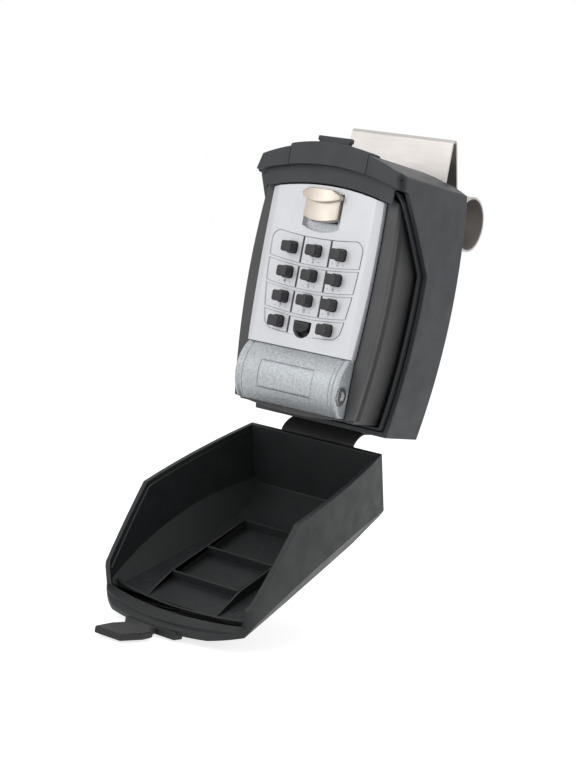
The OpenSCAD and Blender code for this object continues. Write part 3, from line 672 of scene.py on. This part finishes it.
@dataclass
class Vault:
    """The metal body behind the door, with a dark strip of painted shade behind its frame, its screws
    and the hinge pin.
    """

    shop: Workshop
    frame_edge_mm: float = 0.7
    door_half: float = 30.2
    door_top: float = 30.4
    screw_edge_mm: float = 0.25
    pin_edge_mm: float = 0.3
    # Half width, radius and middle height of the bowed walls
    wall_bow: tuple[float, float, float] = (34.9, 353.9, -12.0)
    seal_ends: Point2 = (-69.0, 26.0)
    seal_steps: int = 16
    # Section of the strip of painted shade on the wall, as steps out of the wall and places along y
    seal_section: Sequence[Point2] = ((-0.1, 7.6), (0.7, 7.6), (0.7, 10.4), (0.45, 11.8),
                                      (-0.1, 12.6))

    def seal(self, side: Side) -> None:
        """Lays a dark strip of painted shade into the corner behind the frame, where the shade falls.
        """
        low, high = self.seal_ends
        sections = []
        for i in range(self.seal_steps + 1):
            z = low + (high - low) * i / self.seal_steps
            half = bowed(*self.wall_bow, z)
            sections.append([Vector((side.value * (half + out), y, z)) for out, y in self.seal_section])
        # The near-black strip is painted shade behind the frame's flange.
        self.shop.skinned(side.named("vault_{}_seal"), sections, "housing", "soft_black")

    def build(self) -> None:
        """Makes the vault and what is fixed to it."""
        def outer(start: Vector, end: Vector) -> bool:
            """Whether an edge runs round the outside of the vault."""
            return all(abs(p.x) > self.door_half or p.z > self.door_top for p in (start, end))

        self.shop.rounded("vault_body", [EdgeRule(self.frame_edge_mm, 2, 30.0, outer)])
        # A strip of painted shade behind the frame on each side
        for side in Side:
            self.seal(side)
        self.shop.rounded("vault_screws", [EdgeRule(self.screw_edge_mm, 2)])
        self.shop.rounded("hinge_pin", [EdgeRule(self.pin_edge_mm, 2)])


@dataclass
class WeatherLid:
    """The tray-shaped lid with the ribs, the bead along its rim and the marks of its mould.

    Its points are given as (x, y, z) of the shut lid and turned open from there.
    """

    shop: Workshop
    edge_mm: float = 0.4
    wall_mm: float = 2.2
    open_deg: float = 113.7
    hinge: Point2 = (30.65, -78.4)
    # Side view of the rim, as (y, z), from the front to the hinge
    rim: Sequence[Point2] = ((3.1, 29.0), (28.2, -2.6), (28.8, -72.0))
    rim_steps: int = 8
    bead_in: float = 2.6
    bead_half: float = 0.5
    bead_tall: float = 0.4
    # How far the bead's edges lie inside the wall
    bead_sunk: float = 0.1
    bead_steps: Sequence[float] = (-1.0, -0.5, 0.0, 0.5, 1.0)
    # Mould marks on the floor, as (x, z)
    marks: Sequence[Point2] = ((-26.5, -13.7), (26.5, -13.7), (-25.0, 19.0), (25.0, 19.0),
                               (0.0, -29.0))
    mark_r: float = 3.2
    mark_wire: float = 0.16
    mark_steps: int = 28
    wire_steps: int = 6
    floor_y: float = -8.0
    floor_z: float = -25.0
    floor_r: float = 997.8

    def opened(self, x: float, y: float, z: float) -> Vector:
        """A point of the shut lid, turned open about the hinge."""
        turn = math.radians(self.open_deg)
        ahead, high = y - self.hinge[0], z - self.hinge[1]
        return Vector((x, self.hinge[0] + ahead * math.cos(turn) - high * math.sin(turn),
                       self.hinge[1] + ahead * math.sin(turn) + high * math.cos(turn)))

    def inner_half(self, z: float) -> float:
        """Half the width between the side walls at a height of the shut lid."""
        return bowed(*SHELL_BOW, z) - self.wall_mm

    def rim_bead(self, side: Side) -> None:
        """Lays a low bead on the inside of a side wall, along the rim."""
        knots = [Vector(p) for p in self.rim]
        path: list[tuple[Vector, Vector]] = []
        for a, b in zip(knots, knots[1:]):
            along = (b - a).normalized()
            inward = Vector((along.y, -along.x))
            path += [(a.lerp(b, i / self.rim_steps), inward) for i in range(self.rim_steps + 1)]
        sections = []
        for i, (point, inward) in enumerate(path):
            if i in (self.rim_steps, self.rim_steps + 1):
                other = path[2 * self.rim_steps + 1 - i][1]
                inward = (inward + other) / (1 + inward.dot(other))
            section = []
            for k in self.bead_steps:
                y, z = point + inward * (self.bead_in + k * self.bead_half)
                rise = (self.bead_tall + self.bead_sunk) * math.cos(k * math.pi / 2)
                x = self.inner_half(z) + self.bead_sunk - rise
                section.append(self.opened(side.value * x, y, z))
            sections.append(section)
        del sections[self.rim_steps]
        self.shop.skinned(side.named("lid_{}_bead"), sections, "lid", "lid_plastic")

    def mould_mark(self, name: str, x: float, z: float) -> None:
        """Lays a fine raised ring on the floor of the lid.

        Args:
            name: the piece's name.
            x: place of its middle across the lid.
            z: height of its middle on the shut lid.
        """
        sections = []
        for i in range(self.mark_steps + 1):
            turn = 2 * math.pi * i / self.mark_steps
            section = []
            for k in range(self.wire_steps):
                lean = 2 * math.pi * k / self.wire_steps
                reach = self.mark_r + self.mark_wire * math.cos(lean)
                high = z + reach * math.sin(turn)
                floor = self.floor_y + (high - self.floor_z) ** 2 / (2 * self.floor_r)
                y = floor + self.mark_wire * math.sin(lean)
                section.append(self.opened(x + reach * math.cos(turn), y, high))
            sections.append(section)
        self.shop.skinned(name, sections, "lid", "lid_plastic", ring=True)

    def build(self) -> None:
        """Makes the lid with its bead and marks."""
        self.shop.rounded("weather_lid", [EdgeRule(self.edge_mm, 2)])
        for side in Side:
            self.rim_bead(side)
        for i, (x, z) in enumerate(self.marks):
            self.mould_mark(f"lid_mark_{i + 1}", x, z)


@dataclass
class SoftStraps:
    """The hinge strip, bent between the shell and the lid, and the strap that holds the lid shut."""

    shop: Workshop
    # Middle line of the hinge strip, from the shell's bottom to the lid's hinge wall, as (y, z)
    strip_path: Sequence[Point2] = ((43.1, -75.8), (40.2, -75.8), (37.4, -76.0), (34.2, -77.3),
                                    (31.6, -79.2), (30.0, -81.4), (30.1, -83.3), (30.8, -85.3))
    strip_bend: tuple[Point2, Point2] = ((37.4, -76.0), (30.0, -81.4))
    strip_w: float = 39.0
    strip_t: float = 1.3
    strip_steps: int = 6
    # Chamfer of the strip's long edges, as a share of half its thickness
    strip_chamfer: float = 0.45
    # How far along the knots the strip's direction is measured
    strip_probe: float = 0.05
    edge_mm: float = 0.8

    def strip_point(self, place: float) -> Vector:
        """A point of the strip's middle line, drawn as a smooth curve through its knots.

        Args:
            place: number of the knot, with a fraction between two knots.

        Returns:
            The point as (y, z).
        """
        last = len(self.strip_path) - 1
        i = min(int(place), last - 1)
        t = place - i
        a, b, c, d = (Vector(self.strip_path[min(max(k, 0), last)]) for k in range(i - 1, i + 3))
        return 0.5 * (2 * b + (c - a) * t + (2 * a - 5 * b + 4 * c - d) * t ** 2
                      + (3 * b - a - 3 * c + d) * t ** 3)

    def hinge_strip(self) -> None:
        """Makes the strip, which runs from the shell at one end to the lid at the other."""
        count = (len(self.strip_path) - 1) * self.strip_steps
        half, thick = self.strip_w / 2, self.strip_t / 2
        edge = self.strip_chamfer * thick
        outline = [(-half + edge, thick), (half - edge, thick), (half, thick - edge),
                   (half, edge - thick), (half - edge, -thick), (edge - half, -thick),
                   (-half, edge - thick), (-half, thick - edge)]
        sections = []
        for k in range(count + 1):
            place = k / self.strip_steps
            middle = self.strip_point(place)
            ahead = self.strip_point(min(place + self.strip_probe, len(self.strip_path) - 1))
            behind = self.strip_point(max(place - self.strip_probe, 0.0))
            along = (ahead - behind).normalized()
            out = Vector((-along.y, along.x))
            sections.append([Vector((x, *(middle + n * out))) for x, n in outline])
        made = self.shop.skinned("hinge_strap_skin", sections, None, "soft_black", ["hinge_strap"])
        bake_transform(made)

    def latch_tongue(self) -> None:
        """Makes the strap on the lid's free end, with round corners and soft edges."""
        self.shop.rounded("latch_strap", [EdgeRule(self.edge_mm, 3, 50.0)])

    def build(self) -> None:
        """Makes both straps."""
        self.hinge_strip()
        self.latch_tongue()


@dataclass
class DoorFace:
    """The casting with its barrel, the face plate, and the marks on that plate."""

    shop: Workshop
    cast_edge_mm: float = 0.45
    plate_edge_mm: float = 0.1
    rim_edge_mm: float = 0.25
    pocket_d: float = 0.35
    row_top: float = 5.6
    row_low: float = -6.6
    row_pitch: float = 11.0
    row_gap: float = 1.0
    last_row_low: float = -37.5
    smile_r: float = 150.0
    last_row: int = 3
    # Half width, radius and middle height of the pockets' bowed ends
    side_bow: tuple[float, float, float] = (23.8, 180.0, 3.0)
    divider_x: float = 7.2
    divider_w: float = 0.9
    divider_less: float = 0.6
    # Gap above a divider, and what its paint is narrower and deeper than the pocket's floor
    divider_gap: float = 0.1
    divider_slack: float = 0.06
    divider_sunk: float = 0.2
    line_w: float = 0.3
    edge_w: float = 0.55
    # How far the print and the painted lines, painted shade among them, start below the pockets' floor
    # and stand out from there
    paint_sunk: float = 0.005
    print_tall: float = 0.03
    # The plate's outer edges lie beyond these
    rim_half: float = 25.5
    rim_top: float = 27.0
    rim_low: float = -43.0
    # The last row's lower line stops at both sides of the shield window
    window_half: float = 5.2
    corner_r: float = 4.2
    corner_steps: int = 8
    labelled: str = "23456789"
    label_size: float = 2.7
    label_rise: float = 1.2
    label_shift: float = -0.6
    label_spread: float = 1.35
    label_bold: float = 0.02
    steps: int = 24

    def smile(self, low: float, x: float) -> float:
        """Height of a smiling line whose lowest place is given."""
        return low + self.smile_r - math.sqrt(self.smile_r ** 2 - x * x)

    def side(self, z: float) -> float:
        """Half the width of a pocket at a height."""
        return bowed(*self.side_bow, z)

    def ribbon(self, name: str, points: Sequence[Point2], width: float, paint: PrintAndShade,
               lift: float | None = None) -> None:
        """Lays a painted line on the pockets' floor.

        Args:
            name: the piece's name.
            points: the line's places across and up the face.
            width: the line's width.
            paint: its paint.
            lift: how far it stands out, if not as far as the rest of the paint.
        """
        lift = self.print_tall if lift is None else lift
        sections = []
        for i, (x, z) in enumerate(points):
            before, after = points[max(i - 1, 0)], points[min(i + 1, len(points) - 1)]
            along = Vector((after[0] - before[0], after[1] - before[1])).normalized()
            out = Vector((-along.y, along.x)) * width / 2
            corners = []
            for sign, depth in ((1, 0.0), (1, lift), (-1, lift), (-1, 0.0)):
                px, pz = x + sign * out.x, z + sign * out.y
                corners.append(Vector((px, self.pocket_d + self.paint_sunk - depth, pz)))
            sections.append(corners)
        self.shop.piece(name, finished(lofted(sections), name), "door", paint.value)

    def row_edges(self, row: int) -> tuple[float, float]:
        """Top and bottom of a row's pocket in the middle."""
        above = self.row_low - (row - 1) * self.row_pitch
        top = self.row_top if row == 0 else above - self.row_gap
        return top, self.last_row_low if row == self.last_row else self.row_low - row * self.row_pitch

    def corner(self, row: int, side: Side) -> list[Point2]:
        """Points along the round outer corner of the first or the last row.

        Args:
            row: number of the row.
            side: the side of the corner.

        Returns:
            Places across and up the face, from the horizontal line to the side.
        """
        top, low = self.row_edges(row)
        height, way = (top, 1) if row == 0 else (low, -1)
        middle_z = self.smile(height, self.side(height) - self.corner_r) - way * self.corner_r
        points = []
        for i in range(self.corner_steps + 1):
            turn = math.pi / 2 * (1 - i / self.corner_steps)
            z = middle_z + way * self.corner_r * math.sin(turn)
            points.append((side.value * (self.side(z) - self.corner_r * (1 - math.cos(turn))), z))
        return points

    def fill_corner(self, row: int, side: Side) -> None:
        """Fills the square end of a pocket up to its round corner."""
        height = self.row_edges(row)[0 if row == 0 else 1]
        tip_z = self.smile(height, self.side(height))
        outline = self.corner(row, side) + [(side.value * self.side(tip_z), tip_z)]
        sections = [[Vector((x, y, z)) for x, z in outline] for y in (0.0, self.pocket_d)]
        name = side.named(f"row_{row + 1}_{{}}_corner")
        self.shop.piece(name, finished(lofted(sections), name), "door", "matt_silver")

    def horizontal(self, row: int, level: Level) -> list[Point2]:
        """Points along the top or the bottom line of a row."""
        top, low = self.row_edges(row)
        at_top = level is Level.TOP
        height, inset = (top, -self.line_w / 2) if at_top else (low, self.line_w / 2)
        round_end = row == (0 if at_top else self.last_row)
        half = self.side(height) - (self.corner_r if round_end else self.line_w)
        xs = (half * (2 * i / self.steps - 1) for i in range(self.steps + 1))
        return [(x, self.smile(height, x) + inset) for x in xs]

    def upright(self, row: int, side: Side) -> list[Point2]:
        """Points along a side of a row, with its round corner where it has one."""
        top, low = self.row_edges(row)
        reach = self.side(top)
        high, deep = self.smile(top, reach), self.smile(low, reach)
        bend = self.corner(row, side) if row in (0, self.last_row) else []
        if row == 0:
            high = bend[-1][1]
        if row == self.last_row:
            deep = bend[-1][1]
        count = self.steps // 2
        heights = (high + (deep - high) * i / count for i in range(count + 1))
        straight = [(side.value * (self.side(z) - self.edge_w / 2), z) for z in heights]
        drawn_in = [(x - side.value * self.edge_w / 2, z) for x, z in bend[:-1]]
        return drawn_in + straight if row == 0 else straight + drawn_in[::-1]

    def draw_side(self, row: int, side: Side) -> None:
        """Paints one end of a row and the divider on that side, and rounds its outer corner."""
        # The right end of each row is dark painted shade of its pocket's step; the left end, the lit
        # side, is faint.
        paint = PrintAndShade.FAINT if side is Side.LEFT else PrintAndShade.EDGE
        name = side.named(f"row_{row + 1}_{{}}_")
        self.ribbon(name + "edge", self.upright(row, side), self.edge_w, paint)
        if row in (0, self.last_row):
            self.fill_corner(row, side)
        if row == self.last_row and side is Side.RIGHT:
            return
        top, low = self.row_edges(row)
        ends = (low + self.divider_less, top - self.divider_gap)
        self.ribbon(name + "divider", [(side.value * self.divider_x, z) for z in ends],
                    self.divider_w - self.divider_slack, PrintAndShade.DIVIDER, -self.divider_sunk)

    def draw_lines(self) -> None:
        """Paints the lines round the rows, partly painted shade of the pockets' steps, and the dividers
        between the columns.
        """
        for row in range(self.last_row + 1):
            self.ribbon(f"row_{row + 1}_top_line", self.horizontal(row, Level.TOP), self.line_w,
                        PrintAndShade.LINE if row == 0 else PrintAndShade.FAINT)
            low_line = self.horizontal(row, Level.LOW)
            parts = {"low": low_line}
            if row == self.last_row:
                parts = {"low_left": [p for p in low_line if p[0] < -self.window_half],
                         "low_right": [p for p in low_line if p[0] > self.window_half]}
            for name, line in parts.items():
                self.ribbon(f"row_{row + 1}_{name}_line", line, self.line_w, PrintAndShade.LINE)
            for side in Side:
                self.draw_side(row, side)

    def print_labels(self) -> None:
        """Prints a digit between two dashes under the second to the ninth button."""
        for digit in self.labelled:
            k = BUTTONS[digit]
            curve = bpy.data.curves.new("label_" + digit, "FONT")
            curve.body = f"- {digit} -"
            curve.space_character = self.label_spread
            curve.offset = self.label_bold * MM
            curve.size = self.label_size * MM
            curve.align_x = "CENTER"
            curve.extrude = self.print_tall * MM
            shape = bpy.data.objects.new("label_shape", curve)
            mesh = bpy.data.meshes.new_from_object(shape)
            bpy.data.objects.remove(shape)
            bpy.data.curves.remove(curve)
            x = (k % 3 - 1) * COLUMN
            z = self.smile(self.row_edges(k // 3)[1], x) + self.label_rise
            place = keypad_point(x + self.label_shift, self.pocket_d + self.paint_sunk, z)
            mesh.transform(Matrix.Translation(place) @ Matrix.Rotation(math.radians(90), 4, "X"))
            self.shop.piece("label_" + digit, mesh, "door", PrintAndShade.LABEL.value)

    def build(self) -> None:
        """Makes the casting, the plate and its marks."""
        def rim(start: Vector, end: Vector) -> bool:
            """Whether an edge runs round the outside of the plate."""
            return all(abs(p.x) > self.rim_half or p.z > self.rim_top or p.z < self.rim_low
                       for p in (start, end))

        self.shop.rounded("door_casting", [EdgeRule(self.cast_edge_mm, 2, 35.0)])
        self.shop.rounded("face_plate", [EdgeRule(self.rim_edge_mm, 2, 30.0, rim),
                                         EdgeRule(self.plate_edge_mm, 1, 50.0)])
        self.draw_lines()
        self.print_labels()


@dataclass
class Keypad:
    """The eleven buttons and the code wheel on the end of each stem."""

    shop: Workshop
    # Only a cap's front edges lie before this place
    cap_front: float = -4.89
    chamfer_mm: float = 0.75
    edge_mm: float = 0.2

    def build(self) -> None:
        """Makes the buttons and their wheels."""
        def front(start: Vector, end: Vector) -> bool:
            """Whether an edge lies on the front of a cap."""
            return max(start.y, end.y) < self.cap_front

        rules = [EdgeRule(self.chamfer_mm, 2, 30.0, front)]
        for name in BUTTONS:
            self.shop.rounded("button_" + name, rules)
            self.shop.rounded("code_wheel_" + name, [EdgeRule(self.edge_mm, 1)])


@dataclass
class Slides:
    """The open slide with its bolt, and the clear slide."""

    shop: Workshop
    lip_edge_mm: float = 0.6
    bolt_edge_mm: float = 0.25
    clear_edge_mm: float = 0.2

    def build(self) -> None:
        """Makes the slides."""
        self.shop.rounded("open_slide", [EdgeRule(self.lip_edge_mm, 3)])
        self.shop.rounded("latch_bolt", [EdgeRule(self.bolt_edge_mm, 2)])
        self.shop.rounded("clear_slide", [EdgeRule(self.clear_edge_mm, 2)])


@dataclass(frozen=True)
class Coil:
    """A wound spring: its ends in keypad millimetres, and how it is wound."""

    name: str
    start: tuple[float, float, float]
    end: tuple[float, float, float]
    radius: float
    wire_r: float
    turns: float
    turn_steps: int = 18
    wire_steps: int = 7

    def mesh(self) -> bpy.types.Mesh:
        """Winds the wire from one end to the other."""
        start, end = Vector(self.start), Vector(self.end)
        axis = (end - start).normalized()
        side = axis.orthogonal().normalized()
        other = axis.cross(side)
        length = (end - start).length - 2 * self.wire_r
        count = int(self.turns * self.turn_steps)
        sections = []
        for i in range(count + 1):
            share = i / count
            turn = 2 * math.pi * self.turns * share
            out = math.cos(turn) * side + math.sin(turn) * other
            middle = start + axis * (self.wire_r + length * share) + out * self.radius
            sections.append([middle + self.wire_r * (math.cos(a) * out + math.sin(a) * axis) for a in
                             (2 * math.pi * k / self.wire_steps for k in range(self.wire_steps))])
        bm = lofted(sections)
        for face in bm.faces:
            face.smooth = len(face.verts) == 4
        return finished(bm, self.name)


@dataclass
class LockWorks:
    """The plates, screws and springs inside the door."""

    shop: Workshop
    edge_mm: float = 0.2
    # Where a button's spring starts and ends, and the size of its coil
    key_spring_y: Point2 = (11.9, 6.6)
    key_coil_r: float = 2.25
    key_wire_r: float = 0.32
    key_turns: float = 4.0
    bolt_spring: Coil = Coil("bolt_spring_coil", (0.0, 6.6, 5.7), (0.0, 6.6, 12.1), 1.0, 0.28, 6.0)
    # Share of each spring's length that is left at the end of its slide's way
    bolt_kept: float = 0.38
    clear_spring: Coil = Coil("clear_spring_coil", (0.0, 6.6, -43.5), (0.0, 6.6, -39.5), 1.0, 0.28, 4.0)
    clear_kept: float = 0.42

    def sprung(self, coil: Coil) -> None:
        """Sets an upright spring on its seat.

        Args:
            coil: the spring.
        """
        made = self.shop.piece(coil.name, coil.mesh(), "door", "inner_steel",
                               [coil.name.removesuffix("_coil")])
        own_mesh(made)

    def key_springs(self) -> None:
        """Winds a spring round each button's stem, from the chassis to the button."""
        for name, k in BUTTONS.items():
            x, z = (k % 3 - 1) * COLUMN, -(k // 3) * ROW
            seat, pushed = ((x, y, z) for y in self.key_spring_y)
            coil = Coil("spring_" + name, seat, pushed, self.key_coil_r, self.key_wire_r,
                        self.key_turns)
            made = self.shop.piece(coil.name, coil.mesh(), None, "inner_steel", ["button_springs"])
            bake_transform(made)

    def build(self) -> None:
        """Makes the inner pieces."""
        for node in ("lock_chassis", "rear_cover", "cover_screws", "bolt_guide"):
            self.shop.rounded(node, [EdgeRule(self.edge_mm, 2, 40.0)])
        self.sprung(self.bolt_spring)
        self.sprung(self.clear_spring)
        self.key_springs()


@dataclass(frozen=True)
class SoftBox:
    """A square lamp: its name, its place and size in metres, and its power."""

    name: str
    place: tuple[float, float, float]
    size_m: float
    watts: float


def either_ray(tree: bpy.types.NodeTree, *rays: str) -> bpy.types.NodeSocket:
    """A socket that is one for each of two kinds of ray, and else zero.

    Args:
        tree: the node tree that it belongs to.
        rays: names of the two kinds, as the light path calls them.

    Returns:
        The socket.
    """
    path = tree.nodes.new("ShaderNodeLightPath")
    either = tree.nodes.new("ShaderNodeMath")
    either.operation = "MAXIMUM"
    for ray, socket in zip(rays, either.inputs):
        tree.links.new(path.outputs[ray], socket)
    return either.outputs[0]


@dataclass
class Studio:
    """The floor, the soft light and the camera."""

    centre: Vector = field(default_factory=lambda: Vector((395.8, -668.4, -71.34)) * MM)
    turn_deg: float = 32.99
    rise_deg: float = 3.37
    roll_deg: float = 10.61
    lens_mm: float = 78.54
    sensor_mm: float = 36.0
    clip_m: Point2 = (0.01, 50.0)
    floor_drop_mm: float = 1.0
    floor_half_m: float = 8.0
    floor_tone: Colour = (0.82, 0.82, 0.82, 1.0)
    floor_glow: float = 0.75
    sky_tone: Colour = (0.97, 0.98, 1.0, 1.0)
    sky_strength: float = 0.42
    white: Colour = (1.0, 1.0, 1.0, 1.0)
    lamps: Sequence[SoftBox] = (SoftBox("front_box", (-0.35, -1.3, 0.35), 0.9, 5.6),
                                SoftBox("side_box", (1.2, -0.35, 0.35), 0.8, 2.5),
                                SoftBox("top_box", (0.1, -0.2, 1.2), 0.9, 3.0))

    def camera(self) -> None:
        """Sets the camera at the photograph's place, turned and rolled as it was."""
        turn, rise, roll = (math.radians(a) for a in (self.turn_deg, self.rise_deg, self.roll_deg))
        right = Vector((math.cos(turn), math.sin(turn), 0.0))
        up = Vector((-math.sin(turn) * math.sin(rise), math.cos(turn) * math.sin(rise), math.cos(rise)))
        back = right.cross(up)
        side = math.cos(roll) * right + math.sin(roll) * up
        top = -math.sin(roll) * right + math.cos(roll) * up
        data = bpy.data.cameras.new("camera")
        data.lens = self.lens_mm
        data.sensor_width = self.sensor_mm
        data.clip_start, data.clip_end = self.clip_m
        made = bpy.data.objects.new("camera", data)
        facing = Matrix((side, top, back)).transposed().to_4x4()
        made.matrix_world = Matrix.Translation(self.centre) @ facing
        bpy.context.scene.collection.objects.link(made)
        bpy.context.scene.camera = made

    def white_backdrop(self) -> None:
        """Lights the scene from all round, with plain white where the camera looks past it."""
        world = bpy.data.worlds.new("studio")
        bpy.context.scene.world = world
        world.use_nodes = True
        tree = world.node_tree
        tree.nodes.clear()
        output = tree.nodes.new("ShaderNodeOutputWorld")
        mix = tree.nodes.new("ShaderNodeMixShader")
        tree.links.new(either_ray(tree, "Is Camera Ray", "Is Glossy Ray"), mix.inputs["Fac"])
        for i, (tone, strength) in enumerate(((self.sky_tone, self.sky_strength), (self.white, 1.0))):
            light = tree.nodes.new("ShaderNodeBackground")
            light.inputs["Color"].default_value = tone
            light.inputs["Strength"].default_value = strength
            tree.links.new(light.outputs[0], mix.inputs[i + 1])
        tree.links.new(mix.outputs[0], output.inputs["Surface"])

    def floor(self) -> None:
        """Lays a pale floor under the lowest point of the object."""
        low = CAD_BOX[0].z - self.floor_drop_mm * MM
        half = self.floor_half_m
        mesh = bpy.data.meshes.new("floor")
        corners = [(-half, -half, low), (half, -half, low), (half, half, low), (-half, half, low)]
        mesh.from_pydata(corners, [], [(0, 1, 2, 3)])
        material = bpy.data.materials.new("pale_floor")
        material.use_nodes = True
        tree = material.node_tree
        tree.nodes.clear()
        output = tree.nodes.new("ShaderNodeOutputMaterial")
        paper = tree.nodes.new("ShaderNodeBsdfDiffuse")
        paper.inputs["Color"].default_value = self.floor_tone
        glow = tree.nodes.new("ShaderNodeEmission")
        glow.inputs["Color"].default_value = self.white
        lift = tree.nodes.new("ShaderNodeMath")
        lift.operation = "MULTIPLY"
        lift.inputs[1].default_value = self.floor_glow
        tree.links.new(either_ray(tree, "Is Camera Ray", "Is Glossy Ray"), lift.inputs[0])
        tree.links.new(lift.outputs[0], glow.inputs["Strength"])
        both = tree.nodes.new("ShaderNodeAddShader")
        tree.links.new(paper.outputs[0], both.inputs[0])
        tree.links.new(glow.outputs[0], both.inputs[1])
        tree.links.new(both.outputs[0], output.inputs["Surface"])
        mesh.materials.append(material)
        made = bpy.data.objects.new("floor", mesh)
        bpy.context.scene.collection.objects.link(made)

    def lamp(self, box: SoftBox) -> None:
        """Hangs a soft box that looks at the middle of the object."""
        data = bpy.data.lights.new(box.name, "AREA")
        data.size = box.size_m
        data.energy = box.watts
        made = bpy.data.objects.new(box.name, data)
        middle = (CAD_BOX[0] + CAD_BOX[1]) / 2
        place = Vector(box.place)
        made.location = place
        made.rotation_mode = "QUATERNION"
        made.rotation_quaternion = (middle - place).to_track_quat("-Z", "Y")
        bpy.context.scene.collection.objects.link(made)

    def build(self) -> None:
        """Sets up the whole studio."""
        bpy.context.scene.view_settings.view_transform = "Standard"
        self.camera()
        self.white_backdrop()
        self.floor()
        for box in self.lamps:
            self.lamp(box)


def main() -> None:
    """Builds the key safe and its studio in order."""
    logging.basicConfig(level=logging.INFO, format="%(name)s: %(message)s")
    shop = Workshop()
    Studio().build()
    for assembly in (WeatherCase, WindowHook, Vault, WeatherLid, SoftStraps, DoorFace, Keypad, Slides,
                     LockWorks):
        assembly(shop).build()
    LOG.info("%d pieces", shop.count)


if __name__ == "__main__":
    main()
